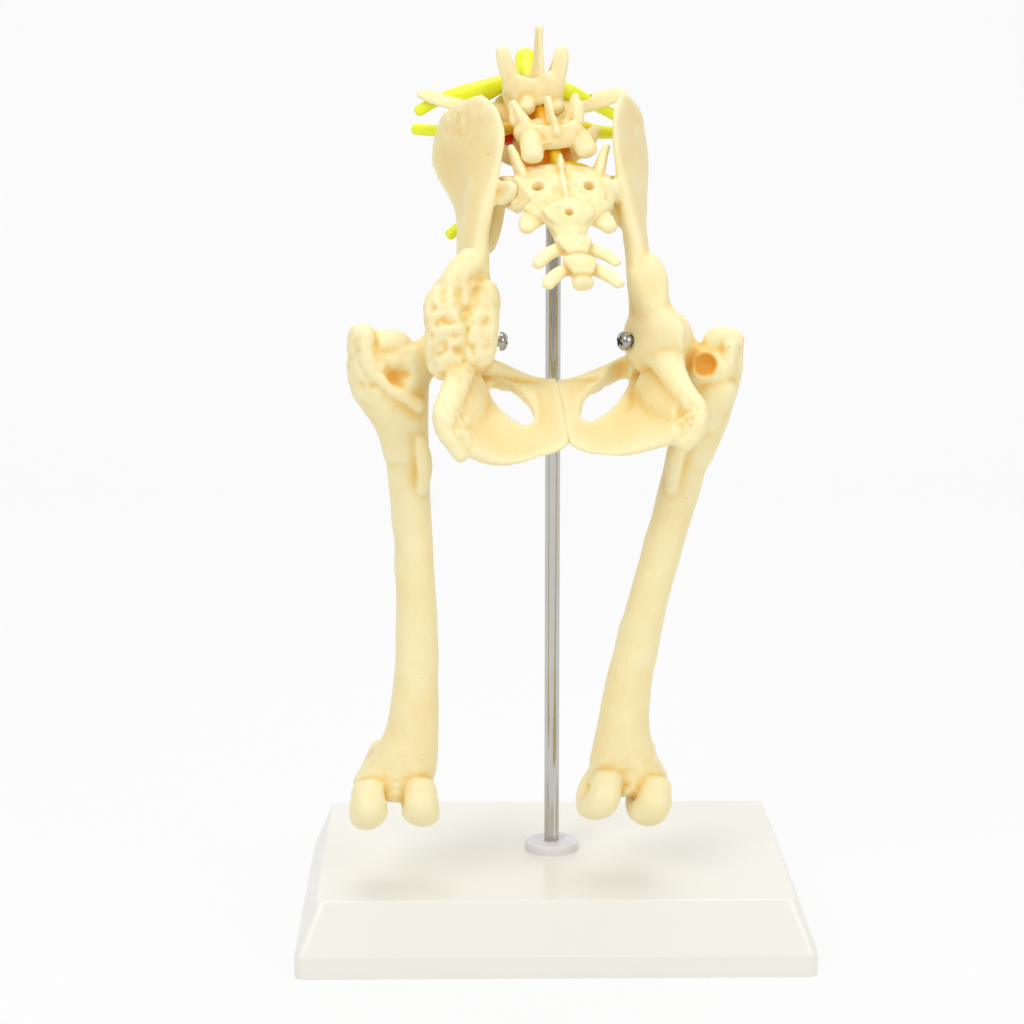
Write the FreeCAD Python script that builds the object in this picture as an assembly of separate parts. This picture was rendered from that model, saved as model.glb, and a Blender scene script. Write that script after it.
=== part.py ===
"""Dog hip joint teaching model: pelvis, sacrum, two lumbar vertebrae and both thigh bones on a stand.

Millimetres. X runs to the dog's right, Y runs forwards to its head end, Z runs up. The origin is
the middle of the base's underside, straight below the rod. The bones are cast resin: each one is
drawn as rounded limbs, lofted through oval sections, that are fused and then hollowed where the
real bone is. Bones of the pelvis and the thigh are drawn once, for the right side, and mirrored.
"""
import FreeCAD
import Part
import math
import os

V = FreeCAD.Vector

# Base, a moulded shell that is open below
BASE_LENGTH = 200.0
BASE_DEPTH = 142.0
BASE_HEIGHT = 28.5
BASE_BAND = 8.6
BASE_INSET = 8.0
BASE_CORNER = 4.0
BASE_WALL = 2.6
BASE_EDGE_ROUND = 1.2
BOSS_DIAMETER = 18.0
RIB_THICKNESS = 2.0
RIB_DEPTH = 9.0
RIB_COUNT = 8

# Rod and what holds it
ROD_DIAMETER = 6.0
ROD_CLEARANCE = 0.1
ROD_IN_BONE = 13.0
COLLAR_DIAMETER = 21.6
COLLAR_HEIGHT = 3.6
COLLAR_ROUND = 1.4
NUT_ACROSS_FLATS = 10.0
NUT_HEIGHT = 5.0
WASHER_DIAMETER = 12.5
WASHER_THICKNESS = 1.2
ROD_BELOW_NUT = 2.0

# Spine, from the seventh lumbar vertebra on the rod outwards
SPINE_HEIGHT = 304.5
SPINE_SHIFT = -3.3
LUMBAR_ELEVATION = 40.0
SACRAL_ELEVATION = 32.0
TAIL_ELEVATION = 27.0
LUMBAR_HEADING = 17.0
LUMBAR_LEAN = {6: 0.0, 7: 5.0}
SACRAL_HEADING = 8.0
BODY_LENGTH = 21.4
BODY_WIDTH = 22.0
BODY_HEIGHT = 13.0
LUMBAR_DISC = 3.0
SACRAL_DISC_GAP = 3.2
CANAL_WIDTH = 12.4
CANAL_HEIGHT = 10.0
CANAL_RISE = 11.5
SPINOUS_HEIGHT = {6: 38.0, 7: 25.0}
SPINOUS_SWEEP = {6: 10.5, 7: 8.5}
TRANSVERSE_REACH = {6: 43.0, 7: 25.0}
FRONT_PROCESS_SPREAD = {6: 11.4, 7: 12.6}
FRONT_PROCESS_RISE = {6: 8.5, 7: 4.5}
REAR_PROCESS_SPREAD = {6: 5.8, 7: 10.6}
REAR_PROCESS_SIZE = {6: 3.3, 7: 4.4}
SACRUM_LENGTH = 40.0
TAIL_PITCH = 14.0
SACRUM_WIDTH = 40.6

# Pelvis, from the middle of the line between the hip centres
PELVIS_DROP = 64.5
PELVIS_BACK = 33.0
PELVIS_SHIFT = 1.6
PELVIS_HEADING = 5.0
HIP_HALF_SPACING = 40.0
ACETABULUM_RADIUS = 16.0
WING_FLARE = {"right": 27.0, "left": 38.0}
WING_OUT = {"right": 31.0, "left": 32.4}

# Thigh bones
HEAD_RADIUS = 11.0
CUP_CLEARANCE = 0.6
SHAFT_LENGTH = 190.0
SHAFT_RADIUS = 7.4
SHAFT_OFFSET = 17.0
CONDYLE_WIDTH = 34.6
CONDYLE_OFFSET = 24.6
FEMUR_TILT = {"right": 12.2, "left": 0.0}
TROCHANTER_REACH = {"right": 32.5, "left": 42.0}

# Screws on which the thigh bones turn
SCREW_DIAMETER = 4.0
SCREW_LENGTH = 26.0
SCREW_CLEARANCE = 0.1
SCREW_HEAD_DIAMETER = 7.2
SCREW_HEAD_HEIGHT = 2.6
SCREW_SEAT_GAP = 0.3
SCREW_SEAT_DEPTH = 17.0
SCREW_TOE = {"right": 23.0, "left": 10.0}

# Nerves
CORD_DIAMETER = 8.6
NERVE_DIAMETER = 4.6
GANGLION_DIAMETER = 8.0
NERVE_CLEARANCE = 0.15
FACET_GAP = 0.3
GLUE_GAP = 0.05

RIGHT = V(1, 0, 0)
FORWARD = V(0, 1, 0)
UP = V(0, 0, 1)


# A closed curve through eight poles on a circle lies inside it, so the poles stand out by FULL
POLES_AROUND = 8
FULL = 3 / (2 + math.cos(2 * math.pi / POLES_AROUND))
CUBIC = 3


def ring(centre, along, side, half_side, half_up):
    """Poles of an oval section: half_side along side, half_up square to it."""
    axis = V(along).normalize()
    across = V(side) - axis * V(side).dot(axis)
    across.normalize()
    upward = axis.cross(across)
    poles = []
    for i in range(POLES_AROUND):
        turn = 2 * math.pi * i / POLES_AROUND
        poles.append(centre + across * (FULL * half_side * math.cos(turn))
                     + upward * (FULL * half_up * math.sin(turn)))
    return poles


def skin(rows, flat_ends):
    """Solid inside a smooth surface over rows of poles, with a plane face at each flat end."""
    count = len(rows)
    columns = [list(column) for column in zip(*rows)]
    inner = count - CUBIC - 1
    surface = Part.BSplineSurface()
    surface.buildFromPolesMultsKnots(
        columns, [1] * (POLES_AROUND + 1), [CUBIC + 1] + [1] * inner + [CUBIC + 1],
        list(range(POLES_AROUND + 1)), list(range(inner + 2)), True, False, CUBIC, CUBIC)
    faces = [surface.toShape()]
    for knot, flat in zip((0, inner + 1), flat_ends):
        if flat:
            faces.append(Part.Face(Part.Wire([surface.vIso(knot).toShape()])))
    solid = Part.Solid(Part.makeShell(faces))
    if solid.Volume < 0:
        solid.reverse()
    return solid


def limb(stations, side, domes=(True, True)):
    """Smooth solid along stations (x, y, z, half_side, half_up), each end domed or flat.

    side is one direction, or one for each station.
    """
    sides = side if isinstance(side, list) else [side] * len(stations)
    centres = [V(*station[:3]) for station in stations]
    last = len(centres) - 1

    def cap(i, sign):
        along = (centres[min(i + 1, last)] - centres[max(i - 1, 0)]).normalize() * sign
        half_side, half_up = stations[i][3:5]
        rise = min(half_side, half_up)
        tip = centres[i] + along * rise
        return [ring(centres[i] + along * rise * 0.6, along * sign, sides[i], half_side, half_up),
                ring(tip, along * sign, sides[i], half_side * 0.6, half_up * 0.6),
                [tip] * POLES_AROUND]

    rows = list(reversed(cap(0, -1))) if domes[0] else []
    for i, (station, centre) in enumerate(zip(stations, centres)):
        along = centres[min(i + 1, last)] - centres[max(i - 1, 0)]
        rows.append(ring(centre, along, sides[i], *station[3:5]))
    rows += cap(last, 1) if domes[1] else []
    while len(rows) < CUBIC + 1:
        rows.insert(1, [(p + q) * 0.5 for p, q in zip(rows[0], rows[1])])
    return skin(rows, [not domed for domed in domes])


def rod_between(start, end, diameter):
    """Round bar from start to end."""
    return Part.makeCylinder(diameter / 2, (end - start).Length, start, end - start)


def mirrored(shape):
    """The same shape on the dog's other side, its surfaces all as splines, which mirror cleanly."""
    return shape.toNurbs().mirror(V(0, 0, 0), RIGHT)


def both_sides(make):
    """A shape made once and its mirror image."""
    shape = make()
    return [shape, mirrored(shape)]


def joined(shapes):
    """All the shapes as one solid, fused one after another."""
    whole = shapes[0]
    for shape in shapes[1:]:
        whole = whole.fuse(shape)
    return whole


def hollowed(whole, tools):
    """The solid less all the tools, cut one after another."""
    for tool in tools:
        whole = whole.cut(tool)
    return whole


def placed(shape, placement):
    """A moved copy of the shape."""
    return shape.transformed(placement.toMatrix())


def frame_at(point, heading, elevation, lean=0.0):
    """Placement that raises Y to the elevation, leans Z to the left and turns Y to the heading."""
    turn = FreeCAD.Rotation(UP, heading).multiply(FreeCAD.Rotation(FORWARD, -lean))
    return FreeCAD.Placement(point, turn.multiply(FreeCAD.Rotation(RIGHT, elevation)))


# Middle of the sacral wing: its share of the sacrum's length and its height
WING_CENTRE = 0.255
WING_RISE = 5.4

# The joint faces of sacrum and hip bones look slightly upwards
JOINT_LEAN = 0.15
JOINT_BLOCK = 24.0

# Frames of the bones
LUMBAR_PITCH = BODY_LENGTH + LUMBAR_DISC
LUMBAR_7 = frame_at(V(SPINE_SHIFT, 0, SPINE_HEIGHT), LUMBAR_HEADING, LUMBAR_ELEVATION, LUMBAR_LEAN[7])
LUMBAR_6 = frame_at(LUMBAR_7.multVec(V(0, LUMBAR_PITCH, 0)), LUMBAR_HEADING, LUMBAR_ELEVATION, LUMBAR_LEAN[6])
PELVIS = FreeCAD.Placement(
    V(PELVIS_SHIFT, -PELVIS_BACK, SPINE_HEIGHT - PELVIS_DROP), FreeCAD.Rotation(UP, PELVIS_HEADING))
SACRUM_TOP = LUMBAR_7.multVec(V(0, -BODY_LENGTH / 2 - SACRAL_DISC_GAP, -0.5))
SACRUM = frame_at(SACRUM_TOP, SACRAL_HEADING, SACRAL_ELEVATION)


def base():
    """Moulded foot: a band, sloped flanks and a flat top, hollow below with a ribbed boss."""
    def body(grow, top):
        low = rounded_plate(BASE_LENGTH - 2 * grow, BASE_DEPTH - 2 * grow, BASE_CORNER, 0)
        band = rounded_plate(BASE_LENGTH - 2 * grow, BASE_DEPTH - 2 * grow, BASE_CORNER, BASE_BAND)
        deck = rounded_plate(
            BASE_LENGTH - 2 * BASE_INSET - 2 * grow, BASE_DEPTH - 2 * BASE_INSET - 2 * grow,
            BASE_CORNER, top)
        return Part.makeLoft([low, band], True, True).fuse(
            Part.makeLoft([band, deck], True, True)).removeSplitter()

    outside = body(0, BASE_HEIGHT)
    rims = [edge for edge in outside.Edges if edge.BoundBox.ZMin > BASE_HEIGHT - 0.01]
    outside = outside.makeFillet(BASE_EDGE_ROUND, rims)
    shell = outside.cut(body(BASE_WALL, BASE_HEIGHT - BASE_WALL))
    boss_foot = BASE_HEIGHT - BASE_WALL - RIB_DEPTH
    boss = Part.makeCylinder(BOSS_DIAMETER / 2, RIB_DEPTH + BASE_WALL / 2, V(0, 0, boss_foot))
    ribs = []
    for i in range(RIB_COUNT):
        rib = Part.makeBox(BASE_LENGTH, RIB_THICKNESS, RIB_DEPTH + BASE_WALL / 2,
                           V(0, -RIB_THICKNESS / 2, boss_foot))
        ribs.append(rib.rotate(V(0, 0, 0), UP, 360.0 * i / RIB_COUNT))
    web = ribs[0].fuse(ribs[1:] + [boss]).common(outside)
    bore = Part.makeCylinder(ROD_DIAMETER / 2 + ROD_CLEARANCE, BASE_HEIGHT)
    return shell.fuse(web).removeSplitter().cut(bore)


def rounded_plate(length, depth, corner, height):
    """Outline of a rectangle with round corners at a height."""
    x, y = length / 2, depth / 2
    wire = Part.makePolygon([V(-x, -y, height), V(x, -y, height), V(x, y, height),
                             V(-x, y, height), V(-x, -y, height)])
    block = Part.Face(wire).extrude(V(0, 0, 1))
    upright = [edge for edge in block.Edges if edge.BoundBox.ZLength > 0.5]
    block = block.makeFillet(corner, upright)
    floor = min(block.Faces, key=lambda face: face.CenterOfMass.z)
    return floor.OuterWire


ROD_FOOT = BASE_HEIGHT - BASE_WALL - RIB_DEPTH - WASHER_THICKNESS - NUT_HEIGHT - ROD_BELOW_NUT
ROD_TOP = SPINE_HEIGHT - BODY_HEIGHT / 2 / math.cos(math.radians(LUMBAR_ELEVATION)) + ROD_IN_BONE


def rod():
    """Straight bar from below the nut up into the seventh lumbar vertebra, with broken ends."""
    bar = Part.makeCylinder(ROD_DIAMETER / 2, ROD_TOP - ROD_FOOT, V(0, 0, ROD_FOOT))
    ends = [edge for edge in bar.Edges if edge.BoundBox.ZLength < 0.01]
    return bar.makeChamfer(0.5, ends)


def rod_collar():
    """Turned plastic ring with two shallow grooves on top."""
    profile = Part.makeCylinder(COLLAR_DIAMETER / 2, COLLAR_HEIGHT, V(0, 0, BASE_HEIGHT))
    top = [edge for edge in profile.Edges if edge.BoundBox.ZMin > BASE_HEIGHT + COLLAR_HEIGHT - 0.01]
    profile = profile.makeFillet(COLLAR_ROUND, top)
    groove_depth = 0.25
    for share in (0.5, 0.72):
        radius = COLLAR_DIAMETER / 2 * share
        profile = profile.cut(Part.makeTorus(
            radius, groove_depth, V(0, 0, BASE_HEIGHT + COLLAR_HEIGHT), UP))
    bore = Part.makeCylinder(ROD_DIAMETER / 2 + ROD_CLEARANCE, BASE_HEIGHT + 2 * COLLAR_HEIGHT)
    return profile.cut(bore)


def rod_washer():
    """Flat washer under the boss."""
    foot = BASE_HEIGHT - BASE_WALL - RIB_DEPTH - WASHER_THICKNESS
    disc = Part.makeCylinder(WASHER_DIAMETER / 2, WASHER_THICKNESS, V(0, 0, foot))
    return disc.cut(Part.makeCylinder(ROD_DIAMETER / 2 + ROD_CLEARANCE, BASE_HEIGHT))


def rod_nut():
    """Hexagon nut with chamfered corners under the washer."""
    foot = BASE_HEIGHT - BASE_WALL - RIB_DEPTH - WASHER_THICKNESS - NUT_HEIGHT
    corner = NUT_ACROSS_FLATS / 2 / math.cos(math.radians(30))
    points = []
    for i in range(7):
        turn = math.radians(60 * i)
        points.append(V(corner * math.cos(turn), corner * math.sin(turn), foot))
    hexagon = Part.Face(Part.makePolygon(points)).extrude(V(0, 0, NUT_HEIGHT))
    bevel = 0.6
    low = Part.makeCone(corner - bevel, corner + NUT_HEIGHT, NUT_HEIGHT + bevel, V(0, 0, foot))
    high = Part.makeCone(corner + NUT_HEIGHT, corner - bevel, NUT_HEIGHT + bevel, V(0, 0, foot - bevel))
    bore = Part.makeCylinder(ROD_DIAMETER / 2 + ROD_CLEARANCE, BASE_HEIGHT)
    return hexagon.common(low).common(high).cut(bore)


def rear_process(number, grow=0.0):
    """Right-hand process at the rear of a lumbar arch, which rests on the next bone back."""
    spread, size = REAR_PROCESS_SPREAD[number], REAR_PROCESS_SIZE[number] + grow
    roof = CANAL_RISE + CANAL_HEIGHT / 2
    return limb([(spread - 3, 0, roof - 1, size, 4.4 + grow), (spread - 1, -6, roof, size, 4.2 + grow),
                 (spread, -10.5, roof - 0.8, size, 3.6 + grow)], RIGHT)


def vertebra(number):
    """Lumbar vertebra, body centre at the origin, Y to the head, Z to the back."""
    front_spread, front_rise = FRONT_PROCESS_SPREAD[number], FRONT_PROCESS_RISE[number]
    reach, crown, sweep = TRANSVERSE_REACH[number], SPINOUS_HEIGHT[number], SPINOUS_SWEEP[number]
    length, width, height = BODY_LENGTH / 2, BODY_WIDTH / 2, BODY_HEIGHT / 2
    roof = CANAL_RISE + CANAL_HEIGHT / 2
    body = limb([(0, -length, 0, width, height), (0, -length * 0.55, 0, width * 0.88, height * 0.88),
                 (0, 0, 0.4, width * 0.8, height * 0.84), (0, length * 0.55, 0, width * 0.88, height * 0.88),
                 (0, length, 0, width, height)], RIGHT, (False, False))
    arch = limb([(0, -length * 0.85, roof - 3.5, width, 6), (0, -length * 0.3, roof - 5.5, width * 1.02, 8.4),
                 (0, length * 0.3, roof - 6.8, width, 8.6), (0, length * 0.72, roof - 8, width * 0.94, 7.4)],
                RIGHT, (False, False))
    spine = crown - roof
    spinous = limb([(0, -length * 0.1, roof, 3, length * 0.72), (0, sweep * 0.1, roof + spine * 0.2, 2, length * 0.66),
                    (0, sweep * 0.4, roof + spine * 0.48, 1.4, length * 0.46),
                    (0, sweep * 0.76, roof + spine * 0.74, 1.3, 3.4), (0, sweep, roof + spine * 0.94, 1.5, 2.2)], RIGHT)

    def front_process():
        return limb([(front_spread - 4.5, -2, roof - 3.5, 4.6, 5), (front_spread - 3, 3.5, roof + front_rise * 0.06, 3.6, 4.8),
                     (front_spread - 1.2, 8, roof + front_rise * 0.53, 2.4, 4.2),
                     (front_spread, 11.5, roof + front_rise, 1.7, 2.8)], RIGHT)

    def transverse():
        return limb([(width * 0.6, 0.5, 1.5, 3.6, 5.4), (width * 0.6 + 6, 2, 2.4, 2.3, 4.6),
                     ((width + reach) / 2, 5, 3.8, 1.8, 4.4), (reach - 5, 8.5, 4.6, 1.4, 3.8),
                     (reach - 1.5, 10.5, 4.6, 1.2, 2.4)], UP)

    def notch():
        return limb([(width * 0.3, -length - 1, CANAL_RISE - 3, 4.6, 4), (width, -length - 1, CANAL_RISE - 3.6, 5, 4.6),
                     (width + 8, -length - 1, CANAL_RISE - 4.5, 5.6, 5.2)], FORWARD, (False, False))

    parts = [body, arch, spinous]
    for make in (front_process, lambda: rear_process(number), transverse):
        parts += both_sides(make)
    whole = joined(parts)
    half_width, half_height = CANAL_WIDTH / 2, CANAL_HEIGHT / 2
    canal = limb([(0, y, CANAL_RISE, half_width, half_height) for y in (-length - 6, 0, length + 12)],
                 RIGHT, (False, False))
    return whole.cut([canal] + both_sides(notch))


def disc(lower, upper, swell):
    """Fibrous disc between two flat ends, each (placement, y, half width, half height)."""
    ends = []
    for glue, (placement, y, half_width, half_height) in ((GLUE_GAP, lower), (-GLUE_GAP, upper)):
        ends.append((placement.multVec(V(0, y + glue, 0)), placement.Rotation.multVec(FORWARD),
                     placement.Rotation.multVec(RIGHT), half_width, half_height))
    (low, low_along, side, low_width, low_height), (high, high_along, _, high_width, high_height) = ends
    rows = [ring(low, low_along, side, low_width, low_height)]
    for share in (0.33, 0.67):
        rows.append(ring(low + (high - low) * share, high - low, side,
                         low_width + (high_width - low_width) * share + swell,
                         low_height + (high_height - low_height) * share + swell))
    rows.append(ring(high, high_along, side, high_width, high_height))
    return skin(rows, (True, True))


def sacrum():
    """Three fused sacral segments and the first two tail vertebrae, from the front end of S1."""
    def at(share):
        return -share * SACRUM_LENGTH
    half = SACRUM_WIDTH / 2
    body = limb([(0, 0, 0, 11, 5.6), (0, at(0.12), 0, 10, 5), (0, at(0.35), 0.8, 8.6, 4.2),
                 (0, at(0.7), 1.6, 6.4, 3.8), (0, at(1.0), 2.6, 5, 3.4)], RIGHT, (False, True))
    roof = limb([(0, at(0.08), 10.8, 14, 2), (0, at(0.15), 10.8, 18.4, 2.6), (0, at(0.28), 9.6, 19.6, 3.2),
                 (0, at(0.42), 8.4, 19.4, 3.2), (0, at(0.54), 7.6, 17.6, 3), (0, at(0.66), 6.8, 13, 3),
                 (0, at(0.82), 6.2, 6.4, 3), (0, at(1.0), 5.6, 5.2, 3)], RIGHT)
    crest = limb([(0, at(0.5), 9.8, 1.6, 2.4), (0, at(0.3), 11, 1.5, 2.8), (0, at(0.17), 12.6, 1.4, 2.8),
                  (0, at(0.09), 14.6, 1.2, 2), (0, at(0.04), 16, 0.9, 1.2)], RIGHT)
    plate = limb([(0, at(0.58), 9.8, 5, 1.9), (0, at(0.64), 9.8, 9.6, 2.1), (0, at(0.74), 9, 10, 2.1),
                  (0, at(0.85), 7.6, 4.5, 2)], RIGHT)

    def wing(side):
        hand = 1 if side == "right" else -1
        mid = at(WING_CENTRE)
        return limb([(hand * 3, mid - 1, WING_RISE, 4.6, 8.4), (hand * 11, mid - 0.5, WING_RISE, 4.8, 8.8),
                     (hand * half, mid, WING_RISE, 5.2, 8), (hand * (half + 8), mid, WING_RISE, 5.2, 8)],
                    UP, (False, False))

    def outside(side):
        return placed(on_side(beyond(*joint_face(side), JOINT_BLOCK), side), SACRUM.inverse())

    def horn():
        return limb([(half - 7.5, at(0.2), 7, 3, 4.4), (half - 5, at(0.08), 11, 2.3, 4.2),
                     (half - 3.4, at(-0.015), 14.4, 1.8, 3.4), (half - 2, at(-0.06), 17, 1.4, 2.2)], RIGHT)

    def third_lobe():
        return limb([(4, at(0.5), 5.6, 3, 5.4), (10, at(0.57), 5.2, 2.7, 5.4), (14.4, at(0.68), 4.4, 2.4, 4.6),
                     (15.6, at(0.77), 4, 2, 3)], UP)

    parts = [body, roof, crest, plate, wing("right"), wing("left")]
    for make in (horn, third_lobe):
        parts += both_sides(make)
    tail = frame_at(V(0, at(1.03), 3.6), 0, TAIL_ELEVATION - SACRAL_ELEVATION)
    parts += [placed(piece, tail) for piece in tail_vertebrae()]
    canal = limb([(0, 4, 7.4, 7, 3.3), (0, at(0.15), 6.9, 6.4, 2.9), (0, at(0.3), 6.4, 4.4, 1.8)], RIGHT)

    def foramen():
        return limb([(9.8, at(0.36), 15, 3, 3), (9.6, at(0.36), 11.6, 2.6, 2.6), (9.4, at(0.36), 9, 1.6, 1.6),
                     (9.2, at(0.36), 7.4, 1.2, 1.2)], RIGHT)
    pit = limb([(0, at(0.74), 15, 2.4, 2.4), (0, at(0.74), 11, 2, 2), (0, at(0.74), 8.6, 1.2, 1.2)], RIGHT)
    return joined(parts).cut([canal, pit, outside("right"), outside("left")] + both_sides(foramen))


def tail_vertebrae():
    """Two small tail vertebrae, each a body, a low arch and a pair of processes that sweep back."""
    parts = []
    for start, size in ((0.0, 1.0), (-TAIL_PITCH, 0.9)):
        parts.append(limb([(0, start + 4, 0, 4.6 * size, 3), (0, start - 5, 0.4, 4 * size, 2.8),
                           (0, start - TAIL_PITCH + 3.5, 0, 4.8 * size, 3.2)], RIGHT))
        parts.append(limb([(0, start - 0.5, 3.2, 7 * size, 2.2), (0, start - 4.5, 4.4, 6.6 * size, 2.6),
                           (0, start - 8.5, 3.6, 4.6 * size, 1.9)], RIGHT))

        def process():
            return limb([(2.5 * size, start - 2, 0.8, 2.3, 3), (8.5 * size, start - 4.5, 0.6, 2.1, 3),
                         (12.4 * size, start - 8.5, 0.4, 1.9, 2.8), (14.6 * size, start - 12.5, 0.2, 1.4, 2.2)], UP)
        parts += both_sides(process)
    return parts


def joint_face(side):
    """Point and outward normal of the flat joint of sacral wing and hip bone, drawn on the right."""
    hand = 1 if side == "right" else -1
    flare = math.radians(WING_FLARE[side])
    seat = PELVIS.inverse().multVec(SACRUM.multVec(
        V(hand * SACRUM_WIDTH / 2, -WING_CENTRE * SACRUM_LENGTH, WING_RISE)))
    return V(hand * seat.x, seat.y, seat.z), V(math.cos(flare), -math.sin(flare), JOINT_LEAN).normalize()


def beyond(point, normal, size=80.0):
    """Block that fills the space beyond a plane."""
    block = Part.makeBox(size, size, size, V(-size / 2, -size / 2, 0))
    return placed(block, FreeCAD.Placement(point, FreeCAD.Rotation(UP, normal)))


def hip_bone(side):
    """Ilium, pubis and ischium as one bone, drawn for the right side, from the pelvis middle."""
    hip = HIP_HALF_SPACING
    out = WING_OUT[side]
    flare = math.radians(WING_FLARE[side])

    def facing(share):
        return V(math.cos(flare * share), -math.sin(flare * share), 0)
    wing_rows = [
        (hip - 4.5, 2, 5, 9.5, 12, 0.2), (hip - 6.6, 6, 16, 6.6, 9.4, 0.35), (hip - 8.4, 10.5, 26, 5.2, 8.2, 0.5),
        (out - 0.4, 14, 37, 4.6, 9, 0.75), (out - 0.8, 19, 48, 4.2, 14, 0.9), (out - 0.8, 25, 59, 3.4, 19.6, 1),
        (out - 0.2, 30.5, 69, 2.8, 23.4, 1), (out + 0.6, 35.5, 78.5, 2.6, 20.5, 1), (out + 1, 38.5, 84.5, 2.7, 13.5, 1)]
    wing = limb([row[:5] for row in wing_rows], [facing(row[5]) for row in wing_rows])
    cup_block = ball(ACETABULUM_RADIUS, hip).cut(
        beyond(V(hip + 3.5, 0, 0), V(1, 0.1, -0.15)))
    bar = limb([(hip - 1, -6, -2, 8, 9), (hip - 1, -14, -8, 4.8, 6.2), (hip + 1, -22, -13.5, 3.6, 5),
                (hip + 4, -30, -18.5, 3.4, 4.8), (hip + 7, -36, -23, 3.8, 4.8),
                (hip + 6.5, -39, -28, 3.8, 4.6), (hip + 1, -39.5, -33.5, 3, 4.2)], V(0.34, 0.66, -0.67))
    floor_rows = [
        (-4, -7, -24.1, 3.6, 24, 0), (5, -7.5, -24.3, 3.4, 24.5, 0), (13, -10.5, -25.8, 3, 27, 0),
        (22, -14.5, -27.5, 3, 26, -0.15), (31, -22, -29, 3.2, 20, -0.35), (38.5, -30, -28, 3.6, 13.5, -0.5),
        (44, -35.5, -27.5, 4, 8, -0.6)]
    floor = limb([row[:5] for row in floor_rows], [V(row[5], -0.425, 0.905) for row in floor_rows], (False, True))
    pubis = limb([(hip - 3, 5, -8, 6, 7.5), (hip * 0.68, 9.5, -12.5, 4, 5), (hip * 0.36, 13, -16, 3.4, 4.4),
                  (-4, 14.5, -18.5, 3.4, 5)], V(0, 0.4, 1), (False, False))
    point, normal = joint_face(side)
    pad_ends = [(point + normal * rise, size) for rise, size in ((3.5, 0.92), (-3, 1))]
    pad = limb([(p.x, p.y, p.z, 4.8 * size, 6.8 * size) for p, size in pad_ends],
               V(0, 0.5, 0.85), (False, False)).cut(beyond(point + normal * GLUE_GAP, normal * -1))
    parts = [wing, cup_block, bar, floor, pubis, pad]
    if side == "left":
        parts.append(bone_spurs())
    whole = joined(parts)
    cup = ball(HEAD_RADIUS + CUP_CLEARANCE, hip)
    head, tip = screw_line(side)
    away = (head - tip).normalize()
    seat = rod_between(head, head + away * 12, SCREW_HEAD_DIAMETER + 1.6)
    square = V(0, -0.425, 0.905)
    gate = V(17.3, -8, -22.4)
    foramen = limb([(*(gate + square * rise), 9.8, 14.6) for rise in (-14, 0, 14)], RIGHT, (False, False))
    over = beyond(V(0, 0, 0), V(-1, 0, 0), 200.0)
    sweep = Part.makeCone(HEAD_RADIUS + 1.3, HEAD_RADIUS + 11, 20, V(hip + 3.7, 0, 0), RIGHT)
    return hollowed(whole, [sweep, cup, seat, foramen, over])


def ball(radius, x):
    """Sphere on the line between the hips, turned so that its poles stay clear of the other shapes."""
    turn = FreeCAD.Rotation(V(1, 1, 0), 35)
    return placed(Part.makeSphere(radius), FreeCAD.Placement(V(x, 0, 0), turn))


def bone_spurs():
    """Rough mass that has grown behind and over the worn hip joint."""
    hip = HIP_HALF_SPACING
    return limb([(hip - 6, -6, 27, 5, 4.5), (hip + 1, -9.5, 20, 8, 6), (hip + 4, -12, 11, 9, 6.5),
                 (hip + 5, -13.6, 1, 8, 6.5), (hip + 4, -15, -7, 6, 5)], V(1, 0.12, 0.05))


def screw_line(side):
    """Seat of the screw's head and its tip, from the pelvis middle, for the right side."""
    toe = math.radians(SCREW_TOE[side])
    into = V(math.cos(toe), math.sin(toe), 0)
    centre = V(HIP_HALF_SPACING, 0, 0)
    seat = centre - into * SCREW_SEAT_DEPTH
    return seat, seat + into * SCREW_LENGTH


def own_screw_line(side):
    """Seat of the screw's head and its tip in the model's frame."""
    hand = 1 if side == "right" else -1
    return [PELVIS.multVec(V(hand * point.x, point.y, point.z)) for point in screw_line(side)]


def hip_screw(side):
    """Pan-head screw with a cross recess; the shank turns in the hip bone and grips the thigh bone."""
    seat, tip = own_screw_line(side)
    into = (tip - seat).normalize()
    radius, rise = SCREW_HEAD_DIAMETER / 2, SCREW_HEAD_HEIGHT
    under = seat - into * SCREW_SEAT_GAP
    profile = [V(0, 0, 0), V(radius, 0, 0), V(radius, 0, rise * 0.45)]
    edges = [Part.makePolygon(profile)]
    edges.append(Part.Arc(profile[-1], V(radius * 0.72, 0, rise * 0.9), V(0, 0, rise)).toShape())
    edges.append(Part.makePolygon([V(0, 0, rise), V(0, 0, 0)]))
    outline = Part.Wire([edge for piece in edges for edge in piece.Edges])
    head = Part.Face(outline).revolve(V(0, 0, 0), UP, 360)
    slot = 1.1
    for turn in (0, 90):
        bar = Part.makeBox(radius * 1.25, slot, rise, V(-radius * 0.625, -slot / 2, rise * 0.45))
        head = head.cut(bar.rotate(V(0, 0, 0), UP, turn))
    head = placed(head, FreeCAD.Placement(under, FreeCAD.Rotation(UP, into * -1)))
    shank = rod_between(under, tip, SCREW_DIAMETER)
    return head.fuse(shank).removeSplitter()


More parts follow.
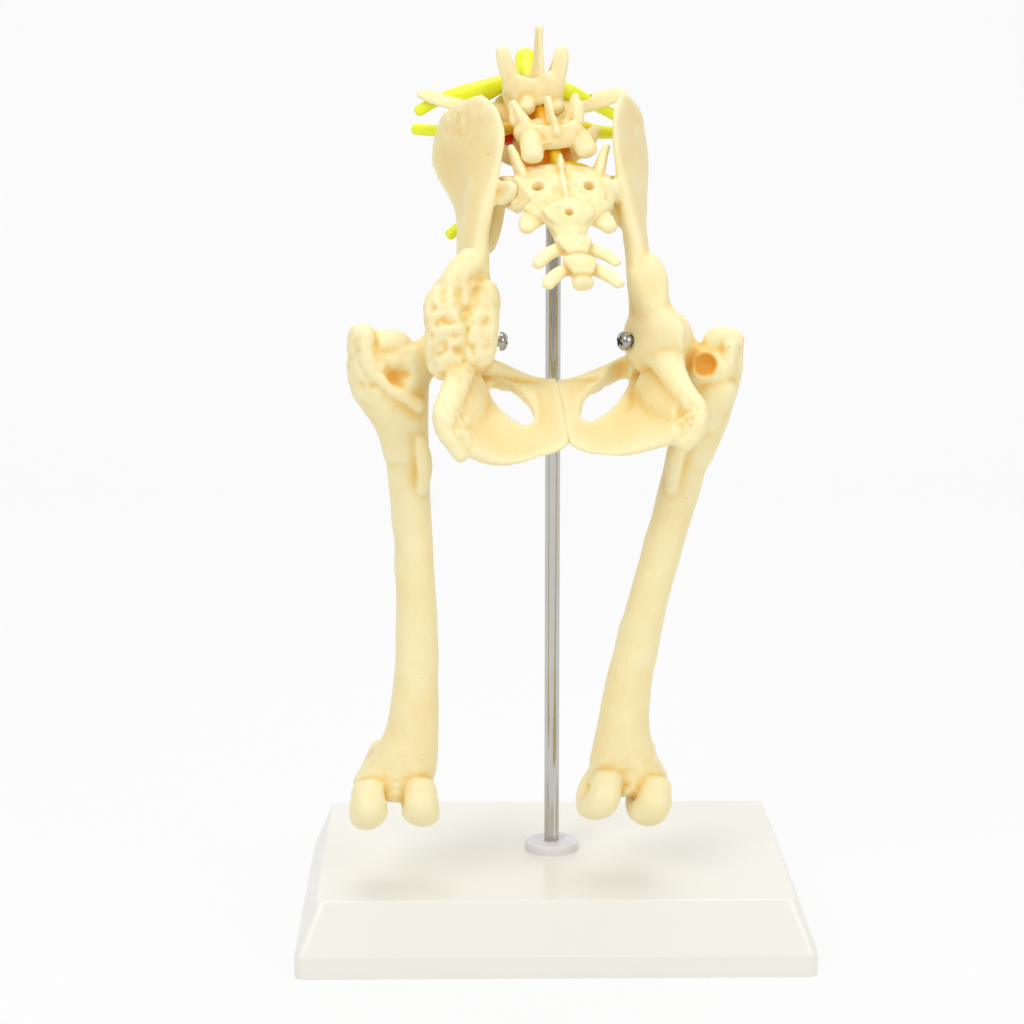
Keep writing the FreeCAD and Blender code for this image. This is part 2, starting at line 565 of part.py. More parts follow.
def femur(side):
    """Thigh bone from the centre of its head, X outwards, Z up, drawn for the right side."""
    reach = TROCHANTER_REACH[side]
    size = SHAFT_RADIUS

    def down(share):
        return -share * SHAFT_LENGTH
    off = SHAFT_OFFSET
    spread = CONDYLE_OFFSET
    half = CONDYLE_WIDTH / 2
    shaft = limb([(off + 2.5, 0, down(0.08), 9.5, 9), (off + 2.5, 0.5, down(0.16), 9, 8.4),
                  (off + 2, 1.5, down(0.26), size + 0.7, size + 0.2), (off + 1, 2.5, down(0.4), size, size),
                  (off - 0.5, 3, down(0.56), size + 0.6, size), (off - 0.6, 2, down(0.7), size + 1.6, size + 0.4),
                  (off + 0.4, 0, down(0.8), size + 2.6, size + 1.6), (spread - 4, -1, down(0.87), half * 0.78, 10.5),
                  (spread, -1.5, down(0.92), half * 0.9, 10.5)], RIGHT)
    head = ball(HEAD_RADIUS, 0)
    neck = limb([(2, 0, -0.5, 7.6, 7.2), (9, 0.5, -4, 7.4, 6.8), (16, 0.5, -10, 9, 7.6), (off + 3, 0, -19, 9, 8.6)],
                FORWARD)
    wide = (reach - off) / 2
    top = limb([(reach - 7, -1, 2.5, 4.6, 6), (reach - 7, -1, -4, 6.4, 8.2), (reach - wide, 0, -14, wide, 9.4),
                (off + 4.5, 0.5, down(0.15), 9.5, 8.8), (off + 3.4, 0.5, down(0.21), 8.4, 8)], RIGHT)
    ridge = limb([(reach - 8.5, -6, 2, 3, 3.4), (reach - 7.5, -8, -9, 3.2, 3.4), (off + 4, -7.5, -19, 3, 3),
                  (off - 2, -7, -23, 3, 3)], RIGHT)
    lesser = limb([(off - 2.5, -5, down(0.2), 3, 3), (off - 4.5, -7, down(0.235), 3.4, 3.2),
                   (off - 2.5, -4.5, down(0.29), 2.6, 2.4)], RIGHT)
    parts = [shaft, head, neck, top, ridge, lesser]
    knuckle = half * 0.42
    for centre in (spread - half + knuckle, spread + half - knuckle):
        parts.append(limb([(centre * 0.5 + spread * 0.5, 7, down(0.85), knuckle * 0.62, 4.4),
                           (centre * 0.8 + spread * 0.2, 11, down(0.92), knuckle * 0.75, 4.8),
                           (centre, 7, down(0.985), knuckle * 0.95, 6.4), (centre, -3, down(1.015), knuckle, 7),
                           (centre, -12, down(0.995), knuckle, 7.6), (centre, -16, down(0.95), knuckle * 0.94, 7),
                           (centre, -12, down(0.915), knuckle * 0.8, 5.6)], RIGHT))
    whole = joined(parts)
    pit = limb([(off + 2, -14, -7, 4.8, 5.4), (off + 2.2, -8, -8, 4.6, 5), (off + 2.8, -2.5, -9, 3, 3.4)], RIGHT)
    return whole.cut(pit)


def femur_placement(side):
    """Where the thigh bone hangs from the pelvis middle, for the right side."""
    turn = FreeCAD.Rotation(FORWARD, FEMUR_TILT[side])
    return FreeCAD.Placement(V(HIP_HALF_SPACING, 0, 0), turn)


def on_side(shape, side):
    """Shape drawn for the right side of the pelvis, put in place on its own side."""
    return placed(shape if side == "right" else mirrored(shape), PELVIS)


def femur_in_place(side):
    """Thigh bone with the hole that its screw has cut."""
    bone = on_side(placed(femur(side), femur_placement(side)), side)
    seat, tip = own_screw_line(side)
    return bone.cut(rod_between(seat, tip + (tip - seat) * 0.02, SCREW_DIAMETER))


def hip_bone_in_place(side):
    """Hip bone with the hole that its screw turns in."""
    seat, tip = own_screw_line(side)
    drill = rod_between(seat - (tip - seat), tip, SCREW_DIAMETER + 2 * SCREW_CLEARANCE)
    return on_side(hip_bone(side), side).cut(drill)


def along(frame, x, y, z, half):
    """Station of a round limb at a point given in a frame."""
    point = frame.multVec(V(x, y, z))
    return (point.x, point.y, point.z, half, half)


def nerve_pairs(grow=0.0):
    """Three pairs of nerves, each pair one limb from its left end through the cord to its right end."""
    thin, knot, rise = NERVE_DIAMETER / 2 + grow, GANGLION_DIAMETER / 2 + grow, CANAL_RISE
    world = FreeCAD.Placement()

    first_left = [(world, -51.5, 12, 324, thin), (world, -40, 14, 330.5, thin)]
    first_right = [(LUMBAR_6, 27, 7, 2.4, thin), (LUMBAR_6, 40, 4, -3, thin)]
    first = [(LUMBAR_6, 20, 9, 5, knot), (LUMBAR_6, 14, 10.8, 6.8, thin * 1.2), (LUMBAR_6, 9.5, 11.8, 8, thin)]
    second_left = [(world, -53, 25, 316, thin), (world, -42, 18, 315.5, thin), (world, -33, 10, 315.5, thin)]
    second_right = [(LUMBAR_6, 28, -9.5, 1, thin), (LUMBAR_6, 41, -7, -1, thin)]
    second = [(LUMBAR_6, 20, -11, 4, knot * 0.9), (LUMBAR_6, 14.5, -12.2, 5.8, thin * 1.2),
              (LUMBAR_6, 10, -12.5, 7.8, thin)]
    third_left = [(world, -39.5, -4, 277.5, thin), (world, -31, -1, 284, thin), (world, -22.5, -4, 291, thin)]
    third_right = [(world, 22, -3, 293.5, thin), (world, 28, 3, 287.5, thin), (world, 32, 6, 282, thin)]
    third = [(LUMBAR_7, 14.5, -12.3, 4.2, thin), (LUMBAR_7, 8, -12.3, 8, thin * 0.9)]
    middles = [(LUMBAR_6, 0, 13, rise - 1, thin), (LUMBAR_6, 0, -12.2, rise - 2, thin),
               (LUMBAR_7, 0, -11.5, rise - 2, thin * 0.9)]
    pairs = []
    for left, inner, middle, right in zip((first_left, second_left, third_left), (first, second, third), middles,
                                          (first_right, second_right, third_right)):
        mirror = [(frame, -x, y, z, half) for frame, x, y, z, half in inner]
        stations = left + mirror + [middle] + inner[::-1] + right
        pairs.append(limb([along(*station) for station in stations], FORWARD))
    return pairs


def nerves():
    """Spinal cord with three pairs of nerves, one soft yellow casting."""
    cord, rise = CORD_DIAMETER / 2, CANAL_RISE
    trunk = limb([along(LUMBAR_6, 2.2, 21, rise + 0.5, cord), along(LUMBAR_6, 0.6, 13, rise, cord),
                  along(LUMBAR_6, 0, -10, rise, cord * 0.94), along(LUMBAR_7, 0, 8, rise - 0.4, cord * 0.85),
                  along(LUMBAR_7, 0, -7, rise - 0.4, cord * 0.68), along(LUMBAR_7, 0, -13, 10.4, 2.5),
                  along(SACRUM, 0, 0, 8.2, 2.1), along(SACRUM, 0, -6, 7, 1.8)], RIGHT)
    return joined([trunk] + nerve_pairs())


def herniation():
    """Burst of disc core that presses on the left nerve between the sixth and seventh vertebrae."""
    y = BODY_LENGTH / 2 + LUMBAR_DISC / 2
    lump = limb([(-9, y, 1, 1.5, 2.2), (-12.5, y, 2.8, 2.4, 3), (-15.5, y, 2.4, 2, 2.6)], FORWARD)
    return placed(lump, LUMBAR_7)


def main():
    """Build every piece and write it to its own file."""
    half_width, half_height = BODY_WIDTH / 2, BODY_HEIGHT / 2
    rod_hole = Part.makeCylinder(ROD_DIAMETER / 2 + ROD_CLEARANCE, ROD_TOP)
    end = BODY_LENGTH / 2
    lumbar_disc = disc((LUMBAR_7, end, half_width, half_height), (LUMBAR_6, -end, half_width, half_height), 0.6)
    channels = nerve_pairs(NERVE_CLEARANCE)
    seventh = placed(vertebra(7), LUMBAR_7)
    burst = herniation().cut([lumbar_disc, channels[1], seventh])
    rests = [placed(piece, LUMBAR_7) for piece in both_sides(lambda: rear_process(7, FACET_GAP))]
    front_rests = [placed(piece, LUMBAR_6) for piece in both_sides(lambda: rear_process(6, FACET_GAP))]
    pieces = {
        "base": base(),
        "rod": rod(),
        "rod_collar": rod_collar(),
        "rod_washer": rod_washer(),
        "rod_nut": rod_nut(),
        "lumbar_vertebra_6": placed(vertebra(6), LUMBAR_6).cut(channels[:2]),
        "lumbar_vertebra_7": seventh.cut([rod_hole] + channels[1:] + front_rests),
        "disc_l6_l7": lumbar_disc.cut(channels[1]),
        "disc_l7_s1": disc((SACRUM, 0, 11, 5.6), (LUMBAR_7, -end, half_width, half_height), 0.6).cut(channels[2]),
        "sacrum": placed(sacrum(), SACRUM).cut(channels[2:] + rests),
        "disc_herniation": max(burst.Solids, key=lambda solid: solid.Volume),
        "spinal_nerves": nerves(),
    }
    for side in ("right", "left"):
        pieces[side + "_hip_bone"] = hip_bone_in_place(side)
        pieces[side + "_femur"] = femur_in_place(side)
        pieces[side + "_hip_screw"] = hip_screw(side)
    os.makedirs("parts", exist_ok=True)
    for name, shape in pieces.items():
        shape.exportStep("parts/" + name + ".step")
        print(name, "valid", shape.isValid(), "solids", len(shape.Solids), "volume", round(shape.Volume))


main()
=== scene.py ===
"""Looks of the dog hip joint model: cast resin bones, nerves and discs on a steel rod and a plastic base.

The frame is that of the CAD model: X to the dog's right, Y towards its head end, Z up along the rod.
Meshes, materials, lamps and the camera are in metres, and places on the castings in millimetres.
Bones are the CAD solids remeshed, relaxed and worked over with numpy fields of pits, ridges and rough
zones; the rod and its collar are profiles turned on parameter grids; the rest keeps its CAD surface.
"""
from __future__ import annotations

import logging
import math
from dataclasses import dataclass, field
from enum import Enum
from typing import Any, Callable, Sequence

import bmesh
import bpy
import numpy as np
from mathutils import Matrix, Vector

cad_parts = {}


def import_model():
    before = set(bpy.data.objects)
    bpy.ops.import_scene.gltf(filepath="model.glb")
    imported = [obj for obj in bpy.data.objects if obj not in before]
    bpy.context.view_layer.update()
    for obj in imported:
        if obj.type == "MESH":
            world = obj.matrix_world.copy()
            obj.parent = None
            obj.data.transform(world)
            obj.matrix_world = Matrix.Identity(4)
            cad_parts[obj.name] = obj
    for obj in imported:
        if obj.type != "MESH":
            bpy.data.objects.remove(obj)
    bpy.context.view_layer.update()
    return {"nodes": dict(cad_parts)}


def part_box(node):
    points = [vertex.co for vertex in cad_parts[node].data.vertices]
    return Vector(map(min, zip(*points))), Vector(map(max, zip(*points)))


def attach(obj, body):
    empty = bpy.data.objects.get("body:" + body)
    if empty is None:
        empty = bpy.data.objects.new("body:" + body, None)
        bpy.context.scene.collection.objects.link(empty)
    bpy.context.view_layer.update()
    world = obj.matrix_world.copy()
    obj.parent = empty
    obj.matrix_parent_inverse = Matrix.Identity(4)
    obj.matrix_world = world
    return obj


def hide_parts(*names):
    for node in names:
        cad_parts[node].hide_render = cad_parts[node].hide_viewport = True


LOG = logging.getLogger("hip_model")
MM = 0.001
MERGE = 1e-6
HEADING = 5.0
HIP_MIDDLE = (1.6, -33.0, 240.0)
Colour = tuple[float, float, float]
Point = tuple[float, float, float]


class Signal:
    """A shader value whose operators add Math nodes."""

    def __init__(self, desk: "NodeDesk", socket: bpy.types.NodeSocket) -> None:
        """Wraps one output socket.

        Args:
            desk: The node desk that owns the socket's tree.
            socket: The output socket.
        """
        self.desk = desk
        self.socket = socket

    def _math(self, operation: str, left: Any, right: Any) -> "Signal":
        """Adds one Math node and returns its value."""
        node = self.desk.add("ShaderNodeMath", {"operation": operation}, {0: left, 1: right})
        return Signal(self.desk, node.outputs[0])

    def __add__(self, other: Any) -> "Signal":
        """Sum."""
        return self._math("ADD", self, other)

    def __radd__(self, other: Any) -> "Signal":
        """Sum with a number on the left."""
        return self._math("ADD", other, self)

    def __sub__(self, other: Any) -> "Signal":
        """Difference."""
        return self._math("SUBTRACT", self, other)

    def __rsub__(self, other: Any) -> "Signal":
        """Difference from a number on the left."""
        return self._math("SUBTRACT", other, self)

    def __mul__(self, other: Any) -> "Signal":
        """Product."""
        return self._math("MULTIPLY", self, other)

    def __rmul__(self, other: Any) -> "Signal":
        """Product with a number on the left."""
        return self._math("MULTIPLY", other, self)

    def clamped(self) -> "Signal":
        """The value held between 0 and 1."""
        return self._math("MINIMUM", self._math("MAXIMUM", self, 0.0), 1.0)


class NodeDesk:
    """Builds one material's node tree."""

    def __init__(self, name: str) -> None:
        """Starts an empty tree with an output.

        Args:
            name: The material's name.
        """
        self.material = bpy.data.materials.new(name)
        self.material.use_nodes = True
        self.tree = self.material.node_tree
        self.tree.nodes.clear()
        self.output = self.add("ShaderNodeOutputMaterial", {}, {})

    def add(self, kind: str, settings: dict[str, Any], values: dict[Any, Any]) -> bpy.types.Node:
        """Adds any node, with its settings first and then its inputs.

        Args:
            kind: The node's type.
            settings: Properties by name; stops gives a ramp's (position, colour) pairs.
            values: Input socket name or number to a value, a Signal or an output socket.

        Returns:
            The new node.
        """
        node = self.tree.nodes.new(kind)
        for key, value in settings.items():
            if key == "stops":
                ramp = node.color_ramp
                while len(ramp.elements) < len(value):
                    ramp.elements.new(0.5)
                for element, (position, colour) in zip(ramp.elements, value):
                    element.position = position
                    element.color = (*colour, 1.0)
            else:
                setattr(node, key, value)
        for key, value in values.items():
            socket = node.inputs[key]
            if isinstance(value, Signal):
                self.tree.links.new(value.socket, socket)
            elif isinstance(value, bpy.types.NodeSocket):
                self.tree.links.new(value, socket)
            else:
                socket.default_value = value
        return node

    def place(self) -> bpy.types.NodeSocket:
        """The point in the piece's own space, in metres."""
        return self.add("ShaderNodeTexCoord", {}, {}).outputs["Object"]

    def noise(self, scale: float, detail: float = 3.0, roughness: float = 0.55) -> Signal:
        """Noise through the piece's space.

        Args:
            scale: Waves per metre.
            detail: Octaves.
            roughness: Share of the finer octaves.

        Returns:
            A value about 0.5.
        """
        node = self.add("ShaderNodeTexNoise", {}, {"Vector": self.place(), "Scale": scale, "Detail": detail,
                                                   "Roughness": roughness})
        return Signal(self, node.outputs["Fac"])

    def ramp(self, value: Signal, stops: Sequence[tuple[float, Colour]]) -> bpy.types.NodeSocket:
        """A colour ramp driven by a value.

        Args:
            value: The driver.
            stops: (position, colour) pairs in order.

        Returns:
            The colour socket.
        """
        return self.add("ShaderNodeValToRGB", {"stops": stops}, {"Fac": value}).outputs["Color"]

    def blend(self, share: Signal, first: Any, second: Any) -> bpy.types.NodeSocket:
        """Mixes two colours.

        Args:
            share: Share of the second colour.
            first: Colour or socket.
            second: Colour or socket.

        Returns:
            The mixed colour socket.
        """
        def full(colour: Any) -> Any:
            """A colour with its alpha."""
            return (*colour, 1.0) if isinstance(colour, tuple) else colour
        node = self.add("ShaderNodeMix", {"data_type": "RGBA"},
                        {"Factor": share, 6: full(first), 7: full(second)})
        return node.outputs[2]

    def bump(self, height: Signal, strength: float, distance: float) -> bpy.types.NodeSocket:
        """A normal from a height field.

        Args:
            height: The height, 0 to 1.
            strength: How much of it shows.
            distance: The height in metres that 1 stands for.

        Returns:
            The normal socket.
        """
        return self.add("ShaderNodeBump", {}, {"Height": height, "Strength": strength,
                                               "Distance": distance}).outputs["Normal"]

    def attribute(self, name: str) -> Signal:
        """A number stored on the mesh's points."""
        return Signal(self, self.add("ShaderNodeAttribute", {"attribute_name": name}, {}).outputs["Fac"])

    def finish(self, shader: bpy.types.Node) -> bpy.types.Material:
        """Joins the shader to the output and returns the material."""
        self.tree.links.new(shader.outputs[0], self.output.inputs["Surface"])
        return self.material


@dataclass(frozen=True)
class ResinFinish:
    """Cast resin, paler on what stands out and golden in the hollows as painted light and shade, with specks
    and casting grain.
    """

    name: str
    pale: Colour
    gold: Colour
    deep: Colour
    roughness: float = 0.42
    grain: float = 900.0
    glow: float = 0.12
    specks: float = 0.0

    def material(self) -> bpy.types.Material:
        """The resin's material; it reads the mesh attribute hollow, painted shade from 0 outside to 1 in a
        pit.
        """
        desk = NodeDesk(self.name)
        clouds = desk.noise(38.0, 2.0)
        # Painted shade: the ramp darkens the resin from pale to gold and deep in hollows and pits, and to
        # orange by the canal's painted glow.
        hollow = (desk.attribute("hollow") + (clouds - 0.5) * 0.35).clamped()
        colour = desk.ramp(hollow, [(0.0, self.pale), (0.5, self.gold), (1.0, self.deep)])
        if self.specks:
            flecks = desk.ramp(desk.noise(420.0, 1.0), [(0.74, (0.0, 0.0, 0.0)), (0.8, (1.0, 1.0, 1.0))])
            fleck = Signal(desk, desk.add("ShaderNodeSeparateColor", {}, {"Color": flecks}).outputs["Red"])
            colour = desk.blend(fleck * self.specks, colour, self.deep)
        grain = desk.noise(self.grain, 4.0) * 0.6 + desk.noise(self.grain * 0.22, 3.0) * 0.4
        # Painted glow: orange emission where the spine's bones face the canal, standing in for light through
        # the resin; no lamp is there.
        painted_glow_colour = desk.ramp(desk.attribute("glow"), [(0.0, (0.0, 0.0, 0.0)), (0.9, (0.9, 0.3, 0.01))])
        shader = desk.add("ShaderNodeBsdfPrincipled", {}, {
            "Base Color": colour,
            "Roughness": (desk.noise(120.0, 2.0) - 0.5) * 0.18 + self.roughness,
            "Specular IOR Level": 0.42,
            "Subsurface Weight": self.glow,
            "Subsurface Radius": (0.004, 0.0024, 0.001),
            "Subsurface Scale": 1.0,
            "Emission Color": painted_glow_colour,
            "Emission Strength": 0.3,
            "Normal": desk.bump(grain, 0.35, 0.00025)})
        return desk.finish(shader)


@dataclass(frozen=True)
class SteelFinish:
    """Bright steel with faint drawing marks along Z or fine turning marks."""

    name: str
    colour: Colour
    roughness: float
    marks: Point = (1500.0, 1500.0, 8.0)

    def material(self) -> bpy.types.Material:
        """The steel's material."""
        desk = NodeDesk(self.name)
        stretched = desk.add("ShaderNodeMapping", {}, {"Vector": desk.place(), "Scale": self.marks})
        drawn = desk.add("ShaderNodeTexNoise", {},
                         {"Vector": stretched.outputs[0], "Scale": 1.0, "Detail": 3.0})
        lines = Signal(desk, drawn.outputs["Fac"])
        smudge = desk.noise(60.0, 2.0)
        colour = desk.blend(smudge, self.colour, tuple(channel * 0.82 for channel in self.colour))
        shader = desk.add("ShaderNodeBsdfPrincipled", {}, {
            "Base Color": colour, "Metallic": 1.0,
            "Roughness": (smudge - 0.5) * 0.12 + (lines - 0.5) * 0.08 + self.roughness,
            "Normal": desk.bump(lines, 0.12, 0.00005)})
        return desk.finish(shader)


@dataclass(frozen=True)
class MouldedFinish:
    """Smooth moulded plastic with a soft gloss, faint flow clouds and a fine skin."""

    name: str
    colour: Colour
    shade: Colour
    roughness: float = 0.28

    def material(self) -> bpy.types.Material:
        """The plastic's material."""
        desk = NodeDesk(self.name)
        clouds = desk.noise(14.0, 3.0)
        skin = desk.noise(700.0, 2.0)
        shader = desk.add("ShaderNodeBsdfPrincipled", {}, {
            "Base Color": desk.blend(clouds, self.colour, self.shade),
            "Roughness": (clouds - 0.5) * 0.03 + self.roughness,
            "Specular IOR Level": 0.5,
            "Normal": desk.bump(skin, 0.05, 0.0001)})
        return desk.finish(shader)


@dataclass(frozen=True)
class NerveFinish:
    """Soft yellow resin, lime outside and amber near the spine's middle as painted shade and bounce light
    from the bones.
    """

    name: str
    lime: Colour
    amber: Colour
    middle: Point

    def material(self) -> bpy.types.Material:
        """The nerve resin's material."""
        desk = NodeDesk(self.name)
        offset = desk.add("ShaderNodeVectorMath", {"operation": "DISTANCE"},
                          {0: desk.place(), 1: self.middle})
        reach = Signal(desk, offset.outputs["Value"])
        # Painted shade: share of amber, 1 near the spine's middle, where the bones shade the cord and light
        # it orange.
        near = (1.5 - reach * 52.0).clamped()
        colour = desk.blend(near, self.lime, self.amber)
        shader = desk.add("ShaderNodeBsdfPrincipled", {}, {
            "Base Color": colour,
            "Roughness": (desk.noise(200.0, 2.0) - 0.5) * 0.15 + 0.34,
            "Subsurface Weight": 0.1,
            "Subsurface Radius": (0.003, 0.003, 0.0005),
            "Subsurface Scale": 1.0,
            "Normal": desk.bump(desk.noise(300.0, 3.0), 0.3, 0.0002)})
        return desk.finish(shader)


class Texture(Enum):
    """Kinds of relief that a zone adds to a casting."""

    CRUMBLE = "crumble"
    FURROW = "furrow"
    DENT = "dent"
    LUMP = "lump"


@dataclass(frozen=True)
class Zone:
    """A round zone of relief on a casting, in millimetres."""

    centre: Point
    radius: float
    depth: float
    texture: Texture
    grain: float = 4.0


@dataclass(frozen=True)
class Nudge:
    """Moves the resin round a point by a vector that fades as (1 - r^2)^2, in millimetres."""

    centre: Point
    radii: Point
    move: Point


@dataclass(frozen=True)
class Web:
    """A flattened strand of resin along a line of points, fused into a casting, in millimetres."""

    path: tuple[Point, ...]
    wide: float
    thick: float
    across: Point = (0.0, 0.0, 1.0)

    def rings(self) -> np.ndarray:
        """Ellipse carried along the path, its size (1 - |2s - 1|^6)^(1/2) at share s of the way.

        Returns:
            Rings of points, one row of points for each place on the path.
        """
        points = np.array(self.path)
        stops = np.arange(len(points))
        share = np.linspace(0.004, 0.996, 6 * len(points))
        centre = np.stack([np.interp(share * stops[-1], stops, points[:, axis]) for axis in range(3)], 1)
        along = np.gradient(centre, axis=0)
        along /= np.linalg.norm(along, axis=1, keepdims=True)
        wide = np.array(self.across) - along * (along @ np.array(self.across))[:, None]
        wide /= np.linalg.norm(wide, axis=1, keepdims=True)
        size = np.sqrt(1.0 - np.abs(2.0 * share - 1.0) ** 6)[:, None]
        return ellipses(centre, wide * size * self.wide, np.cross(along, wide) * size * self.thick)


@dataclass(frozen=True)
class Bore:
    """A hole cut into a casting: an oval given by two half axes, carried along a third, in millimetres."""

    centre: Point
    first: Point
    second: Point
    depth: Point
    fullness: float = 2.0

    def rings(self) -> np.ndarray:
        """Oval at share t of the depth, its size (1 - |t|^p)^(1/p), p the fullness, 2 for an ellipsoid.

        Returns:
            Rings of points.
        """
        share = np.linspace(-0.998, 0.998, 25)[:, None]
        size = (1.0 - np.abs(share) ** self.fullness) ** (1.0 / self.fullness)
        centre = np.array(self.centre) + share * np.array(self.depth)
        return ellipses(centre, size * np.array(self.first), size * np.array(self.second))


def ellipses(centre: np.ndarray, first: np.ndarray, second: np.ndarray, count: int = 24) -> np.ndarray:
    """Points centre + first cos a + second sin a for each row and count angles a.

    Args:
        centre: Ring centres.
        first: First half axis of each ring.
        second: Second half axis of each ring.
        count: Points on a ring.

    Returns:
        Array of rings by points by coordinates.
    """
    turn = np.linspace(0.0, 2.0 * math.pi, count, endpoint=False)[None, :, None]
    return centre[:, None] + first[:, None] * np.cos(turn) + second[:, None] * np.sin(turn)


def closed_tube(name: str, rings: np.ndarray) -> bpy.types.Mesh:
    """Mesh of quads between rings with a cap at each end, its faces turned outwards.

    Args:
        name: The mesh's name.
        rings: Array of rings by points by coordinates, in millimetres.

    Returns:
        The closed mesh.
    """
    rows, count = rings.shape[:2]
    i, j = np.meshgrid(np.arange(rows - 1), np.arange(count), indexing="ij")
    beside = (j + 1) % count
    quads = np.stack([i * count + j, i * count + beside, (i + 1) * count + beside, (i + 1) * count + j], 2)
    caps = [list(range(count))[::-1], list(range((rows - 1) * count, rows * count))]
    mesh = bpy.data.meshes.new(name)
    mesh.from_pydata((rings.reshape(-1, 3) * MM).tolist(), [], quads.reshape(-1, 4).tolist() + caps)
    work = bmesh.new()
    work.from_mesh(mesh)
    bmesh.ops.recalc_face_normals(work, faces=work.faces)
    work.to_mesh(mesh)
    work.free()
    return mesh


def in_pelvis(x: float, y: float, z: float) -> Point:
    """Point given from the middle between the hips, which is turned by the heading, behind the rod."""
    turn = math.radians(HEADING)
    return (HIP_MIDDLE[0] + x * math.cos(turn) - y * math.sin(turn),
            HIP_MIDDLE[1] + x * math.sin(turn) + y * math.cos(turn), HIP_MIDDLE[2] + z)


def field_noise(points: np.ndarray, size: float, seed: int) -> np.ndarray:
    """Smooth random field: corner values of a cubic lattice, blended by 3t^2 - 2t^3 along each axis.

    Args:
        points: Points, one row each, in millimetres.
        size: Lattice spacing in millimetres.
        seed: Number that picks the field.

    Returns:
        One value from -1 to 1 for each point.
    """
    scaled = points / size
    cell = np.floor(scaled).astype(np.int64)
    ease = scaled - cell
    ease = ease * ease * (3.0 - 2.0 * ease)
    total = np.zeros(len(points))
    for corner in range(8):
        step = np.array([corner & 1, corner >> 1 & 1, corner >> 2 & 1])
        key = (cell + step) @ np.array([73856093, 19349663, 83492791]) + seed * 40503
        key = (key ^ (key >> 13)) * 1274126177 & 0x7FFFFFFF
        value = ((key >> 8) & 0xFFFF) / 32767.5 - 1.0
        total += value * np.prod(np.where(step, ease, 1.0 - ease), axis=1)
    return total


def read_points(mesh: bpy.types.Mesh) -> tuple[np.ndarray, np.ndarray]:
    """Point places and normals of a mesh.

    Args:
        mesh: The mesh.

    Returns:
        Places in millimetres and unit normals.
    """
    count = len(mesh.vertices)
    places, normals = np.empty(count * 3), np.empty(count * 3)
    mesh.vertices.foreach_get("co", places)
    mesh.vertex_normals.foreach_get("vector", normals)
    return places.reshape(-1, 3) / MM, normals.reshape(-1, 3)


def relaxed(values: np.ndarray, edges: np.ndarray, rounds: int) -> np.ndarray:
    """Values averaged over mesh neighbours, again and again.

    Args:
        values: One row for each point.
        edges: Pairs of point numbers.
        rounds: How often to average.

    Returns:
        The smoothed values.
    """
    first, second = edges[:, 0], edges[:, 1]
    count = np.bincount(edges.ravel(), minlength=len(values)).astype(float)[:, None]
    for _ in range(rounds):
        total = np.stack([np.bincount(first, values[second, axis], len(values))
                          + np.bincount(second, values[first, axis], len(values)) for axis in range(3)], 1)
        values = 0.5 * values + 0.5 * total / np.maximum(count, 1.0)
    return values


def nearness(places: np.ndarray, centre: Point, radii: Point | float) -> np.ndarray:
    """1 - r^2 held above 0, r the distance from the centre over the radius or radii.

    Args:
        places: Points in millimetres.
        centre: The middle of the zone.
        radii: Its radius, or one for each axis.

    Returns:
        One share for each point, 1 at the centre and 0 outside.
    """
    distance = np.linalg.norm((places - np.array(centre)) / np.array(radii), axis=1)
    return np.clip(1.0 - distance ** 2, 0.0, 1.0)


@dataclass
class Piece:
    """What every piece has: its CAD node, its body and its material slot."""

    node: str
    body: str
    slot: str

    def dressed(self, suffix: str, mesh: bpy.types.Mesh, material: bpy.types.Material) -> bpy.types.Object:
        """Puts a finished mesh in the place of its CAD node.

        Args:
            suffix: What the piece's name adds to its node's.
            mesh: The mesh, with its place in it.
            material: The finish.

        Returns:
            The finished piece.
        """
        mesh.materials.clear()
        mesh.materials.append(material)
        piece = bpy.data.objects.new(self.node + suffix, mesh)
        bpy.context.scene.collection.objects.link(piece)
        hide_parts(self.node)
        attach(piece, self.body)
        LOG.info("%s: %d faces", piece.name, len(mesh.polygons))
        return piece


